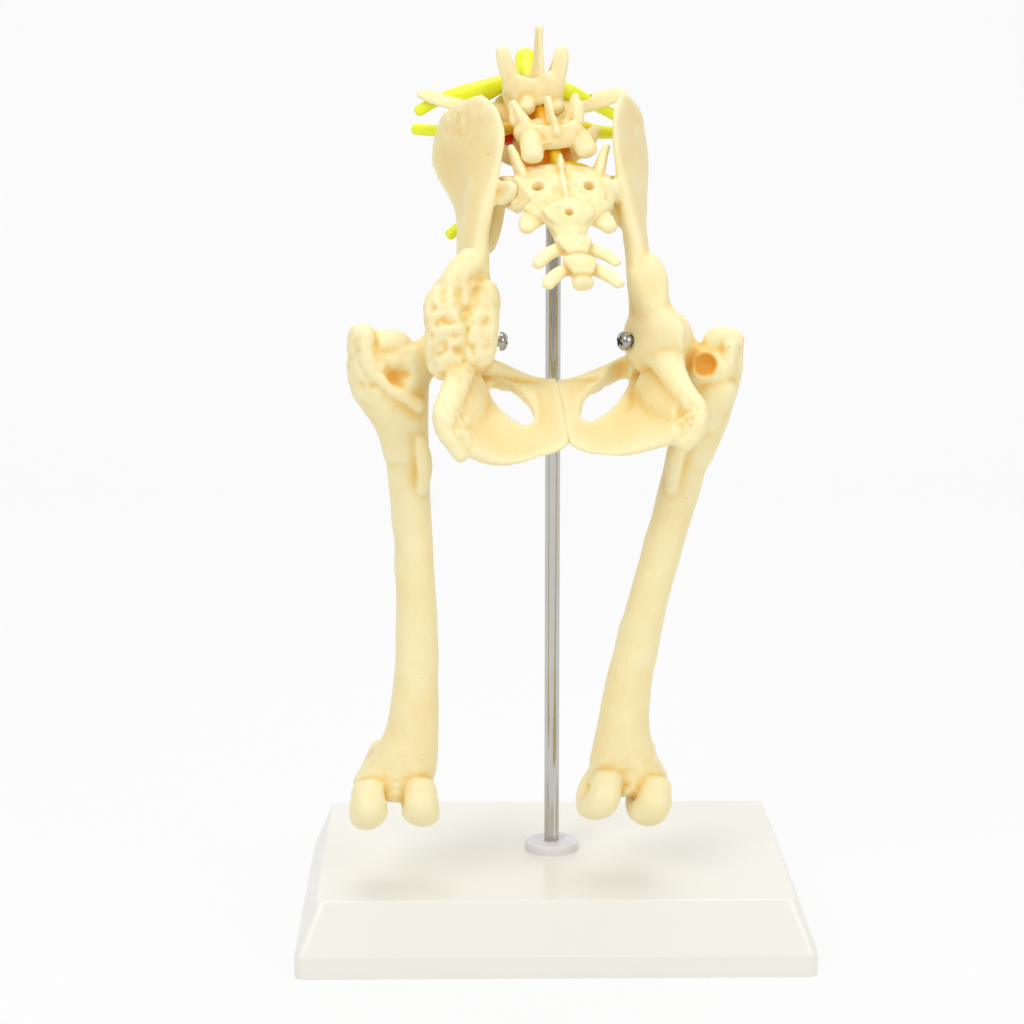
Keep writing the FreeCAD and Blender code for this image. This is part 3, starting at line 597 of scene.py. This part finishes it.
@dataclass
class Casting(Piece):
    """A cast piece: the CAD solid remeshed, relaxed and given its relief."""

    voxel: float = 0.7
    relax: int = 5
    undulation: float = 0.22
    undulation_size: float = 9.0
    grain: float = 0.05
    grain_size: float = 1.1
    calm_fade: float = 3.0
    # The next fields set painted shade: deeper colour in hollows and pits and at the painted shade spots; the
    # last field places painted glow.
    tone_rounds: int = 26
    tone: float = 0.2
    tone_per_depth: float = 0.85
    painted_spot_shade: float = 1.1
    zones: Sequence[Zone] = field(default_factory=tuple)
    calm: Sequence[tuple[Point, float]] = field(default_factory=tuple)
    seed: int = 1
    webs: Sequence[Web] = field(default_factory=tuple)
    bores: Sequence[Bore] = field(default_factory=tuple)
    nudges: Sequence[Nudge] = field(default_factory=tuple)
    painted_shade_spots: Sequence[tuple[Point, float]] = field(default_factory=tuple)
    painted_glows: Sequence[tuple[Point, float]] = field(default_factory=tuple)

    def cutter(self) -> bpy.types.Object:
        """All the bores as one object."""
        work = bmesh.new()
        for bore in self.bores:
            work.from_mesh(closed_tube("bore", bore.rings()))
        mesh = bpy.data.meshes.new("bores")
        work.to_mesh(mesh)
        work.free()
        cutter = bpy.data.objects.new(self.node + "_bores", mesh)
        bpy.context.scene.collection.objects.link(cutter)
        return cutter

    def remeshed(self, source: bpy.types.Object) -> bpy.types.Mesh:
        """Even, relaxed mesh of the CAD solid with its webs and bores.

        Doubles are merged, the webs are fused in by a voxel remesh, the bores are cut, the mesh is made
        even once more and smoothed.

        Args:
            source: The CAD node's object.

        Returns:
            The new mesh.
        """
        raw = source.data.copy()
        work = bmesh.new()
        work.from_mesh(raw)
        bmesh.ops.remove_doubles(work, verts=work.verts, dist=MERGE)
        for web in self.webs:
            work.from_mesh(closed_tube("web", web.rings()))
        work.to_mesh(raw)
        work.free()
        holder = bpy.data.objects.new(self.node + "_work", raw)
        bpy.context.scene.collection.objects.link(holder)
        helpers = [holder]
        self.even(holder)
        if self.bores:
            helpers.append(self.cutter())
            cut = holder.modifiers.new("cut", "BOOLEAN")
            cut.operation = "DIFFERENCE"
            cut.solver = "MANIFOLD"
            cut.object = helpers[1]
            self.even(holder)
        smooth = holder.modifiers.new("relax", "SMOOTH")
        smooth.factor = 0.5
        smooth.iterations = self.relax
        graph = bpy.context.evaluated_depsgraph_get()
        mesh = bpy.data.meshes.new_from_object(holder.evaluated_get(graph))
        for helper in helpers:
            bpy.data.objects.remove(helper)
        return mesh

    def even(self, holder: bpy.types.Object) -> None:
        """Adds a voxel remesh."""
        remesh = holder.modifiers.new("even", "REMESH")
        remesh.mode = "VOXEL"
        remesh.voxel_size = self.voxel * MM

    def relief(self, places: np.ndarray) -> np.ndarray:
        """Height to add along the normals.

        A zone weighs each point by (1 - r^2)^2, r its distance over the zone's radius. Crumble is noise in
        two sizes, furrow is made from 0.7 - 2.2 |noise|, a dent goes in by its depth and a lump comes out.

        Args:
            places: Points in millimetres.

        Returns:
            Heights in millimetres.
        """
        height = self.undulation * field_noise(places, self.undulation_size, self.seed)
        height += self.grain * field_noise(places, self.grain_size, self.seed + 1)
        for number, zone in enumerate(self.zones):
            weight = nearness(places, zone.centre, zone.radius) ** 2
            seed = self.seed + 7 * number
            if zone.texture in (Texture.CRUMBLE, Texture.FURROW):
                coarse = field_noise(places, zone.grain, seed)
                fine = field_noise(places, zone.grain / 2, seed + 3)
            if zone.texture is Texture.CRUMBLE:
                shape = 0.7 * coarse + 0.45 * fine
            elif zone.texture is Texture.FURROW:
                shape = np.minimum(0.7 - 2.2 * np.abs(coarse), 0.45) + 0.3 * fine
            else:
                shape = -1.0 if zone.texture is Texture.DENT else 1.0
            height += weight * zone.depth * shape
        for centre, radius in self.calm:
            distance = np.linalg.norm(places - np.array(centre), axis=1)
            height *= np.clip((distance - radius) / self.calm_fade, 0.0, 1.0)
        return height

    def build(self, nodes: dict[str, bpy.types.Object], material: bpy.types.Material) -> bpy.types.Object:
        """Makes the casting, dresses it and puts it in place of its CAD node.

        Args:
            nodes: The CAD nodes.
            material: The resin.

        Returns:
            The finished piece.
        """
        mesh = self.remeshed(nodes[self.node])
        places, normals = read_points(mesh)
        places = places + normals * self.relief(places)[:, None]
        for nudge in self.nudges:
            weight = nearness(places, nudge.centre, nudge.radii) ** 2
            places = places + weight[:, None] * np.array(nudge.move)
        edges = np.empty(len(mesh.edges) * 2, dtype=np.int64)
        mesh.edges.foreach_get("vertices", edges)
        edges = edges.reshape(-1, 2)
        # Painted shade: how far a point lies below its smoothed neighbours sets how deep its colour goes,
        # pale on what stands out; the painted shade spots deepen it.
        drift = relaxed(places, edges, self.tone_rounds) - places
        depth = np.einsum("ij,ij->i", drift, normals)
        hollow = self.tone + depth * self.tone_per_depth
        for centre, radius in self.painted_shade_spots:
            hollow = hollow + self.painted_spot_shade * nearness(places, centre, radius)
        # Painted glow near the canal, which also pushes the colour towards deep orange.
        glow = np.zeros(len(places))
        for centre, radius in self.painted_glows:
            glow = np.maximum(glow, nearness(places, centre, radius))
        hollow = np.clip(hollow + glow, 0.0, 1.0)
        mesh.vertices.foreach_set("co", (places * MM).ravel())
        for name, values in (("hollow", hollow), ("glow", glow)):
            mesh.attributes.new(name, "FLOAT", "POINT").data.foreach_set("value", values.astype(np.float32))
        mesh.shade_smooth()
        mesh.update()
        return self.dressed("_cast", mesh, material)


@dataclass
class Machined(Piece):
    """A turned or moulded piece that keeps its CAD shape, with smooth faces between true edges."""

    crease: float = 12.0

    def build(self, nodes: dict[str, bpy.types.Object], material: bpy.types.Material) -> bpy.types.Object:
        """Copies the CAD node, joins its triangles, marks true edges sharp and dresses it.

        Args:
            nodes: The CAD nodes.
            material: The finish.

        Returns:
            The finished piece.
        """
        mesh = nodes[self.node].data.copy()
        work = bmesh.new()
        work.from_mesh(mesh)
        bmesh.ops.remove_doubles(work, verts=work.verts, dist=MERGE)
        limit = math.radians(self.crease)
        for edge in work.edges:
            edge.smooth = len(edge.link_faces) == 2 and edge.calc_face_angle(0.0) < limit
        work.to_mesh(mesh)
        work.free()
        mesh.polygons.foreach_set("use_smooth", np.ones(len(mesh.polygons), dtype=bool))
        return self.dressed("_part", mesh, material)


@dataclass
class Turned(Piece):
    """A piece of revolution about the rod's axis: a closed profile turned through a full circle."""

    profile: Callable[[Vector, Vector], Sequence[tuple[float, float]]]
    sides: int = 96
    crease: float = 40.0

    def build(self, nodes: dict[str, bpy.types.Object], material: bpy.types.Material) -> bpy.types.Object:
        """Point (i, j) is profile point i turned by 2 pi j / sides, joined into quads both ways round.

        Args:
            nodes: The CAD nodes.
            material: The finish.

        Returns:
            The finished piece.
        """
        low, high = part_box(self.node)
        outline = np.array(self.profile(low, high))
        turn = np.linspace(0.0, 2.0 * math.pi, self.sides, endpoint=False)
        grid = np.stack([outline[:, :1] * np.cos(turn), outline[:, :1] * np.sin(turn),
                         np.repeat(outline[:, 1:], self.sides, axis=1)], axis=2)
        rows = len(outline)
        i, j = np.meshgrid(np.arange(rows), np.arange(self.sides), indexing="ij")
        after_i, after_j = (i + 1) % rows, (j + 1) % self.sides
        quads = np.stack([i * self.sides + j, i * self.sides + after_j, after_i * self.sides + after_j,
                          after_i * self.sides + j], axis=2).reshape(-1, 4)
        mesh = bpy.data.meshes.new(self.node + "_turned")
        mesh.from_pydata(grid.reshape(-1, 3).tolist(), [], quads.tolist())
        work = bmesh.new()
        work.from_mesh(mesh)
        bmesh.ops.recalc_face_normals(work, faces=work.faces)
        for edge in work.edges:
            edge.smooth = edge.calc_face_angle(0.0) < math.radians(self.crease)
        work.to_mesh(mesh)
        work.free()
        mesh.polygons.foreach_set("use_smooth", np.ones(len(mesh.polygons), dtype=bool))
        return self.dressed("_turned", mesh, material)


FIXED = "stand_and_pelvis"
LEFT_LEG = "left_leg"
RIGHT_LEG = "right_leg"
SIDEWAYS = (1.0, 0.0, 0.0)
FLOOR_RISE = (0.0, 0.905, 0.425)
HAND = {"right": 1.0, "left": -1.0}


@dataclass
class Stand:
    """Base, collar, rod, washer, nut and the two hip screws."""

    rod_radius: float = 0.003
    collar_round: float = 0.0014
    groove_shares: tuple[float, float] = (0.72, 0.5)

    def rod_profile(self, low: Vector, high: Vector) -> list[tuple[float, float]]:
        """Rod with a broken edge at each end, closed on the axis."""
        chamfer, radius, core = 0.0005, self.rod_radius, 1e-5
        return [(core, low.z), (radius - chamfer, low.z), (radius, low.z + chamfer),
                (radius, high.z - chamfer), (radius - chamfer, high.z), (core, high.z)]

    def collar_profile(self, low: Vector, high: Vector) -> list[tuple[float, float]]:
        """Collar with a rounded shoulder, two shallow grooves on top and the rod's bore."""
        clearance, groove = 0.0001, 0.00025
        outer, bore, top = high.x, self.rod_radius + clearance, high.z
        points = [(bore, low.z), (outer, low.z), (outer, top - self.collar_round)]
        for step in range(1, 7):
            turn = math.radians(15 * step)
            points.append((outer - self.collar_round * (1 - math.cos(turn)),
                           top - self.collar_round * (1 - math.sin(turn))))
        for share in self.groove_shares:
            middle = outer * share
            for turn in np.linspace(0.0, math.pi, 7):
                points.append((middle + groove * math.cos(turn), top - groove * math.sin(turn)))
        points.append((bore, top))
        return points

    def build(self, nodes: dict[str, bpy.types.Object]) -> None:
        """Makes and dresses the hardware.

        Args:
            nodes: The CAD nodes.
        """
        white = MouldedFinish("white_moulding", (0.9, 0.88, 0.81), (0.88, 0.855, 0.78)).material()
        lilac = MouldedFinish("collar_moulding", (0.84, 0.82, 0.85), (0.8, 0.775, 0.815), 0.35).material()
        chrome = SteelFinish("polished_rod", (0.6, 0.59, 0.56), 0.08).material()
        zinc = SteelFinish("zinc_plate", (0.62, 0.62, 0.6), 0.34, (400.0, 400.0, 400.0)).material()
        nickel = SteelFinish("screw_nickel", (0.5, 0.5, 0.5), 0.2, (900.0, 900.0, 900.0)).material()
        Machined("base", FIXED, "white_plastic").build(nodes, white)
        Turned("rod", FIXED, "polished_steel", self.rod_profile).build(nodes, chrome)
        Turned("rod_collar", FIXED, "collar_plastic", self.collar_profile).build(nodes, lilac)
        Machined("rod_washer", FIXED, "zinc_steel").build(nodes, zinc)
        Machined("rod_nut", FIXED, "zinc_steel").build(nodes, zinc)
        Machined("left_hip_screw", LEFT_LEG, "screw_steel").build(nodes, nickel)
        Machined("right_hip_screw", RIGHT_LEG, "screw_steel").build(nodes, nickel)


@dataclass
class Skeleton:
    """The cast bones, each with the relief of its own landmarks, with places in millimetres."""

    left_hip: Point = (-38.3, -36.5, 240.0)
    right_hip: Point = (41.4, -29.5, 240.0)
    socket_reach: float = 12.6
    spine_voxel: float = 0.5
    hip_voxel: float = 0.75
    thigh_voxel: float = 0.8
    knuckle_radii: Point = (70.0, 70.0, 44.0)
    knuckle_rise: float = 10.5
    bone: ResinFinish = ResinFinish(
        "bone_resin", pale=(0.96, 0.85, 0.5), gold=(0.88, 0.62, 0.19), deep=(0.8, 0.35, 0.03), specks=0.4)

    def joints(self) -> list[tuple[Point, float]]:
        """The two hip joints, each with the reach that the relief leaves alone."""
        return [(self.left_hip, self.socket_reach), (self.right_hip, self.socket_reach)]

    def spine_bone(self, node: str, undulation: float, grain: float, seed: int,
                   zones: tuple[Zone, ...], webs: tuple[Web, ...]) -> Casting:
        """A bone of the spine, painted with an orange glow and deeper colour where it faces the canal,
        standing in for the cord's light through the resin.

        Args:
            node: The CAD node.
            undulation: Height of the slow waves.
            grain: Height of the fine waves.
            seed: Number that picks the relief.
            zones: Zones of relief.
            webs: Sheets between the processes.

        Returns:
            The casting.
        """
        # Painted glow round the canal: (centre, radius) in millimetres.
        canal = (((-5.5, 5.0, 319.0), 10.0), ((-3.0, -3.0, 306.0), 13.0))
        return Casting(node, FIXED, "bone_resin", voxel=self.spine_voxel, relax=4, undulation=undulation,
                       grain=grain, zones=zones, seed=seed, webs=webs, painted_glows=canal)

    def sacrum(self) -> Casting:
        """Sacrum with a small sheet from each front process to the plate."""
        zones = (Zone((0.0, -22.0, 292.0), 30.0, 0.9, Texture.CRUMBLE, 5.0),
                 Zone((8.0, -52.0, 268.0), 26.0, 0.5, Texture.CRUMBLE, 3.5))
        left = ((-13.0, -20.0, 300.0), (-15.5, -23.0, 293.0), (-13.0, -27.0, 288.0))
        right = ((18.5, -20.0, 300.0), (20.0, -23.0, 293.0), (17.5, -27.0, 288.0))
        webs = (Web(left, 3.0, 3.6, SIDEWAYS), Web(right, 3.0, 3.6, SIDEWAYS))
        return self.spine_bone("sacrum", 0.3, 0.05, 11, zones, webs)

    def lumbar_six(self) -> Casting:
        """Sixth lumbar vertebra: a sheet across behind, and one down from each front process."""
        zones = (Zone((-8.0, 0.0, 330.0), 26.0, 0.5, Texture.CRUMBLE, 5.0),)
        across = ((-18.7, 1.5, 336.5), (-13.3, 0.5, 332.0), (-7.2, 0.0, 331.0), (-1.1, 0.5, 333.2),
                  (2.8, 1.5, 338.0))
        left = ((-20.2, 2.5, 349.0), (-18.4, 1.5, 340.0), (-16.0, 1.0, 333.0))
        right = ((3.4, 2.5, 349.0), (2.2, 1.5, 340.0), (0.6, 1.0, 333.0))
        webs = (Web(across, 5.2, 2.0), Web(left, 3.0, 1.6, SIDEWAYS), Web(right, 3.0, 1.6, SIDEWAYS))
        return self.spine_bone("lumbar_vertebra_6", 0.25, 0.04, 21, zones, webs)

    def lumbar_seven(self) -> Casting:
        """Seventh lumbar vertebra, with the same three sheets."""
        zones = (Zone((-3.0, -14.0, 312.0), 24.0, 0.5, Texture.CRUMBLE, 5.0),)
        across = ((-15.0, -12.5, 319.0), (-9.8, -14.5, 315.4), (-1.8, -15.5, 314.6), (5.8, -14.5, 315.6),
                  (10.0, -12.5, 319.6))
        left = ((-15.6, -9.0, 328.0), (-14.7, -12.0, 318.5))
        right = ((8.8, -9.0, 329.0), (8.9, -12.0, 318.9))
        webs = (Web(across, 4.6, 2.0), Web(left, 2.4, 1.8, SIDEWAYS), Web(right, 2.4, 1.8, SIDEWAYS))
        return self.spine_bone("lumbar_vertebra_7", 0.25, 0.04, 31, zones, webs)

    def thigh(self, side: str, zones: Sequence[Zone], webs: Sequence[Web], nudges: Sequence[Nudge],
              bores: Sequence[Bore] = (), painted_shade_spots: Sequence[tuple[Point, float]] = ()) -> Casting:
        """A thigh bone.

        Args:
            side: The dog's side, right or left.
            zones: Zones of relief.
            webs: Strands that fill out the trochanter.
            nudges: Moves of the surface.
            bores: Pits.
            painted_shade_spots: Places painted deep gold as shade, such as in a pit.

        Returns:
            The casting.
        """
        body, seed = (RIGHT_LEG, 61) if side == "right" else (LEFT_LEG, 71)
        return Casting(side + "_femur", body, "bone_resin", voxel=self.thigh_voxel, relax=6, undulation=0.35,
                       grain=0.05, zones=zones, calm=self.joints(), seed=seed, webs=webs, bores=bores,
                       nudges=nudges, painted_shade_spots=painted_shade_spots)

    def knuckles(self, x: float, y: float) -> Nudge:
        """Lifts the knuckles of the thigh bone at x and y to where the photograph has them."""
        return Nudge((x, y, 38.0), self.knuckle_radii, (0.0, 0.0, self.knuckle_rise))

    def right_thigh(self) -> Casting:
        """Right thigh bone, with a round pit behind the trochanter, painted deep gold inside as shade."""
        zones = (Zone((68.0, -32.0, 236.0), 16.0, 0.5, Texture.CRUMBLE, 4.0),
                 Zone((30.0, -30.0, 64.0), 26.0, 0.7, Texture.CRUMBLE, 4.0))
        top = ((57.1, -30.5, 236.0), (61.6, -30.5, 239.5), (66.5, -30.0, 239.5), (70.0, -30.0, 236.0))
        neck = ((51.0, -33.0, 231.0), (58.5, -33.0, 229.0), (66.0, -33.0, 226.0))
        crest = ((66.0, -34.0, 226.0), (58.0, -34.0, 215.0), (55.0, -33.0, 205.0))
        webs = (Web(top, 5.0, 4.6), Web(neck, 7.5, 6.6), Web(crest, 7.0, 5.5, SIDEWAYS))
        pit = Bore((55.0, -43.5, 232.0), (6.2, 0.0, 0.8), (-0.8, 0.0, 6.6), (1.5, 8.5, -0.5))
        # The pit's inside is painted deep gold as shade.
        return self.thigh("right", zones, webs, (self.knuckles(30.0, -30.0),), (pit,),
                          (((54.8, -38.5, 232.0), 7.5),))

    def left_thigh(self) -> Casting:
        """Left thigh bone, with a rough trochanter and a pit behind it."""
        zones = (Zone((-70.0, -40.0, 232.0), 26.0, 0.9, Texture.CRUMBLE, 5.0),
                 Zone((-74.0, -42.0, 230.0), 18.0, 0.6, Texture.CRUMBLE, 3.4),
                 Zone((-59.6, -46.0, 228.4), 7.0, 2.2, Texture.DENT),
                 Zone((-60.0, -38.0, 64.0), 26.0, 0.8, Texture.CRUMBLE, 4.0))
        top = ((-74.0, -38.0, 234.5), (-68.0, -38.0, 237.5), (-61.0, -38.0, 237.5), (-54.5, -37.5, 235.5))
        neck = ((-66.0, -39.0, 231.0), (-57.0, -39.0, 231.5), (-49.5, -38.5, 232.0))
        crest = ((-68.0, -39.5, 227.0), (-61.0, -41.0, 215.0), (-57.0, -40.5, 204.0))
        webs = (Web(top, 6.6, 6.2), Web(neck, 8.5, 7.8), Web(crest, 9.0, 6.2, SIDEWAYS))
        shaft = Nudge((-62.0, -36.0, 150.0), (60.0, 60.0, 100.0), (2.2, 0.0, 0.0))
        return self.thigh("left", zones, webs, (self.knuckles(-60.0, -36.0), shaft))

    def window(self, side: str) -> Bore:
        """The oblique window in the pelvis floor, which slopes by the rise below.

        Args:
            side: The dog's side, right or left.

        Returns:
            The bore.
        """
        hand = HAND[side]
        centre, long_axis, short_axis = {
            "right": ((16.4, -5.1, -21.0), (8.8, 16.7), (-4.2, 6.4)),
            "left": ((19.4, -8.5, -22.6), (7.5, 13.2), (-3.8, 6.2))}[side]
        first = (hand * long_axis[0], FLOOR_RISE[1] * long_axis[1], FLOOR_RISE[2] * long_axis[1])
        second = (hand * short_axis[0], FLOOR_RISE[1] * short_axis[1], FLOOR_RISE[2] * short_axis[1])
        middle = in_pelvis(hand * centre[0], centre[1], centre[2])
        return Bore(middle, first, second, (0.0, -5.1, 10.9), 10.0)

    def hip_bone(self, side: str) -> Casting:
        """One hip bone: the ischium's sheet and arm, the window, the rough tuber and any spurs.

        Args:
            side: The dog's side, right or left.

        Returns:
            The casting.
        """
        hand = HAND[side]

        def at(x: float, y: float, z: float) -> Point:
            """Point drawn for the right side, put on this side."""
            return in_pelvis(hand * x, y, z)

        floor = (at(8.0, -8.0, -22.6), at(17.0, -8.0, -23.0), at(27.0, -8.5, -22.5))
        arm = (at(33.0, -4.0, -11.0), at(34.0, -10.0, -14.5), at(34.8, -16.0, -18.0), at(36.0, -23.0, -22.2),
               at(38.0, -30.0, -26.2), at(42.0, -36.5, -28.5))
        shoulder = (at(32.0, 9.0, 32.0), at(34.5, 1.0, 19.0), at(36.5, -6.5, 8.0), at(37.5, -9.5, -3.0),
                    at(38.5, -12.5, -10.0))
        webs = [Web(floor, 17.0, 2.2, FLOOR_RISE), Web(arm, 9.6, 2.8, (hand * 0.55, 0.0, 0.83)),
                Web(shoulder, 8.0, 5.0, SIDEWAYS)]
        zones = [Zone(at(44.0, -37.0, -24.0), 14.0, 0.9, Texture.CRUMBLE, 3.0),
                 Zone(at(33.0, 36.0, 82.0), 20.0, 0.5, Texture.CRUMBLE, 4.0)]
        nudges = [Nudge(at(0.0, 15.0, -17.0), (34.0, 26.0, 26.0), (0.0, -5.0, -2.6))]
        if side == "right":
            seam = (at(0.0, 10.5, -17.0), at(0.0, 0.0, -21.8), at(0.0, -14.0, -28.2), at(0.0, -28.0, -34.2))
            arch = ((26.5, -13.0, 297.0), (25.0, -15.5, 289.0), (24.5, -16.5, 281.0))
            webs += [Web(seam, 1.7, 3.1, SIDEWAYS), Web(arch, 3.6, 3.0, SIDEWAYS)]
            nudges.append(Nudge(at(50.0, 0.0, 13.0), (16.0, 22.0, 14.0), (-3.0, 0.0, -3.5)))
        else:
            arch = ((-24.0, -12.5, 297.0), (-22.5, -13.5, 290.0), (-24.2, -14.5, 282.0),
                    (-27.5, -16.5, 270.0))
            webs.append(Web(arch, 4.6, 2.8, SIDEWAYS))
            spur_webs, spur_zones = self.spurs(at)
            webs += spur_webs
            zones += spur_zones
            nudges += [Nudge(at(31.0, -36.0, -36.0), (24.0, 24.0, 20.0), (0.0, 0.0, -4.2)),
                       Nudge(at(47.0, 24.0, 54.0), (16.0, 30.0, 30.0), (7.0, 0.0, 0.0))]
        return Casting(side + "_hip_bone", FIXED, "bone_resin", voxel=self.hip_voxel, relax=5, undulation=0.4,
                       grain=0.05, zones=zones, calm=self.joints(), seed=41 if hand > 0 else 51, webs=webs,
                       bores=(self.window(side),), nudges=nudges)

    def spurs(self, at: Callable[[float, float, float], Point]) -> tuple[list[Web], list[Zone]]:
        """Bone spurs over the worn socket: three strands, furrowed and crumbled.

        Args:
            at: Turns a place drawn for the right side into one on the worn side.

        Returns:
            The strands and the zones of relief.
        """
        upper = (at(31.0, -6.0, 34.0), at(38.0, -9.0, 27.0), at(43.0, -12.0, 19.0))
        outer = (at(42.0, -12.0, 22.0), at(46.0, -14.0, 14.0), at(44.0, -16.0, 4.0), at(45.0, -16.5, -5.0),
                 at(42.0, -17.0, -12.0))
        inner = (at(30.0, -5.0, 24.0), at(32.0, -12.0, 10.0), at(33.0, -14.0, 0.0), at(35.0, -15.0, -8.0))
        webs = [Web(upper, 5.5, 4.4, SIDEWAYS), Web(outer, 7.0, 5.0, SIDEWAYS),
                Web(inner, 8.0, 5.0, SIDEWAYS)]
        zones = [Zone(at(43.0, -17.0, 10.0), 30.0, 0.8, Texture.FURROW, 5.2),
                 Zone(at(43.0, -17.0, 4.0), 30.0, 1.0, Texture.CRUMBLE, 6.0),
                 Zone(at(43.0, -17.0, 4.0), 30.0, 0.6, Texture.CRUMBLE, 2.4)]
        return webs, zones

    def build(self, nodes: dict[str, bpy.types.Object]) -> None:
        """Makes the bones.

        Args:
            nodes: The CAD nodes.
        """
        resin = self.bone.material()
        castings = [self.sacrum(), self.lumbar_six(), self.lumbar_seven(), self.hip_bone("right"),
                    self.hip_bone("left"), self.right_thigh(), self.left_thigh()]
        for casting in castings:
            casting.build(nodes, resin)


@dataclass
class SoftParts:
    """Discs, the disc's red burst and the yellow cord with its nerves."""

    # Middle of the nerves' painted amber shade, in metres.
    spine: Point = (-0.0045, -0.003, 0.313)

    def build(self, nodes: dict[str, bpy.types.Object]) -> None:
        """Makes the soft parts.

        Args:
            nodes: The CAD nodes.
        """
        amber = ResinFinish("disc_resin", pale=(0.86, 0.5, 0.2), gold=(0.8, 0.36, 0.1), deep=(0.6, 0.2, 0.04),
                            roughness=0.36, specks=0.2)
        red = ResinFinish("red_resin", pale=(0.8, 0.04, 0.02), gold=(0.6, 0.015, 0.01),
                          deep=(0.3, 0.005, 0.005), roughness=0.22, glow=0.04)
        # The nerve's amber is painted shade near the spine's middle.
        yellow = NerveFinish("nerve_resin", (0.9, 0.97, 0.03), (0.9, 0.42, 0.01), self.spine)
        disc = amber.material()
        for number, node in enumerate(("disc_l6_l7", "disc_l7_s1")):
            Casting(node, FIXED, "disc_resin", voxel=0.35, relax=2, undulation=0.06, grain=0.02,
                    seed=81 + number).build(nodes, disc)
        Casting("disc_herniation", FIXED, "red_resin", voxel=0.22, relax=2, undulation=0.15, grain=0.08,
                seed=91).build(nodes, red.material())
        knots = (Zone((8.0, 13.0, 330.0), 15.0, 2.0, Texture.LUMP),
                 Zone((14.0, -4.0, 317.5), 13.0, 1.9, Texture.LUMP),
                 Zone((-24.0, 14.0, 331.0), 17.0, 1.4, Texture.LUMP))
        Casting("spinal_nerves", FIXED, "nerve_resin", voxel=0.5, relax=4, undulation=0.18, grain=0.02,
                zones=knots, seed=95).build(nodes, yellow.material())


@dataclass
class Studio:
    """White sweep, soft lamps and the photograph's camera."""

    eye: Point = (-0.0301, -1.0088, 0.3634)
    pitch: float = 11.0
    yaw: float = 0.8
    lens: float = 91.4
    floor_glow: float = 0.86
    aim: Point = (0.0, 0.0, 0.2)
    air: float = 0.48

    def backdrop(self) -> None:
        """White floor that keeps the shadow and bends up, by a quarter circle, into a wall behind."""
        desk = NodeDesk("studio_white")
        rays = desk.add("ShaderNodeLightPath", {}, {})
        seen = (Signal(desk, rays.outputs["Is Camera Ray"]) + Signal(desk, rays.outputs["Is Glossy Ray"])
                + Signal(desk, rays.outputs["Is Transmission Ray"])).clamped()
        paint = desk.add("ShaderNodeBsdfDiffuse", {}, {"Color": (0.82, 0.82, 0.82, 1.0)})
        white = desk.add("ShaderNodeEmission", {}, {"Color": (1.0, 1.0, 1.0, 1.0), "Strength": 1.0})
        mix = desk.add("ShaderNodeMixShader", {},
                       {0: seen * self.floor_glow, 1: paint.outputs[0], 2: white.outputs[0]})
        turn = np.linspace(0.0, math.pi / 2, 12)
        radius, near, far, height, half = 0.35, -1.6, 1.3, 2.6, 3.0
        along = np.concatenate([[near, far - radius], far - radius + radius * np.sin(turn), [far]])
        rise = np.concatenate([[0.0, 0.0], radius - radius * np.cos(turn), [height]])
        left = np.stack([np.full(len(along), -half), along, rise], 1)
        right = left * np.array([-1.0, 1.0, 1.0])
        count = len(along)
        i = np.arange(count - 1)
        quads = np.stack([i, i + count, i + count + 1, i + 1], 1)
        mesh = bpy.data.meshes.new("sweep")
        mesh.from_pydata(np.concatenate([left, right]).tolist(), [], quads.tolist())
        mesh.shade_smooth()
        mesh.materials.append(desk.finish(mix))
        sweep = bpy.data.objects.new("sweep", mesh)
        bpy.context.scene.collection.objects.link(sweep)

    def lamp(self, name: str, place: Point, size: float, power: float) -> None:
        """Adds a square soft lamp that faces the aim.

        Args:
            name: The lamp's name.
            place: Where it hangs.
            size: Its side.
            power: Its power in watts.
        """
        light = bpy.data.lights.new(name, "AREA")
        light.size = size
        light.energy = power
        lamp = bpy.data.objects.new(name, light)
        lamp.location = place
        lamp.rotation_euler = (Vector(self.aim) - Vector(place)).to_track_quat("-Z", "Y").to_euler()
        bpy.context.scene.collection.objects.link(lamp)

    def build(self) -> None:
        """Sets up the view, the lamps and the world."""
        scene = bpy.context.scene
        camera = bpy.data.cameras.new("photograph")
        camera.lens = self.lens
        camera.sensor_width = 36.0
        camera.clip_end = 20.0
        holder = bpy.data.objects.new("photograph", camera)
        holder.location = self.eye
        holder.rotation_euler = (math.radians(90.0 - self.pitch), 0.0, math.radians(-self.yaw))
        scene.collection.objects.link(holder)
        scene.camera = holder
        self.backdrop()
        self.lamp("key", (-0.9, -1.2, 1.3), size=0.9, power=10.5)
        self.lamp("fill", (1.1, -1.1, 0.9), size=1.0, power=7.8)
        self.lamp("top", (0.0, 0.2, 1.5), size=1.0, power=7.8)
        world = bpy.data.worlds.new("studio_air")
        world.use_nodes = True
        sky = world.node_tree.nodes["Background"].inputs
        sky["Color"].default_value = (1.0, 1.0, 1.0, 1.0)
        sky["Strength"].default_value = self.air
        scene.world = world
        scene.view_settings.view_transform = "Standard"


def main() -> None:
    """Loads the frame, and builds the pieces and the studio."""
    logging.basicConfig(level=logging.INFO, format="%(name)s %(message)s")
    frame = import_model()
    Studio().build()
    Stand().build(frame["nodes"])
    Skeleton().build(frame["nodes"])
    SoftParts().build(frame["nodes"])


if __name__ == "__main__":
    main()
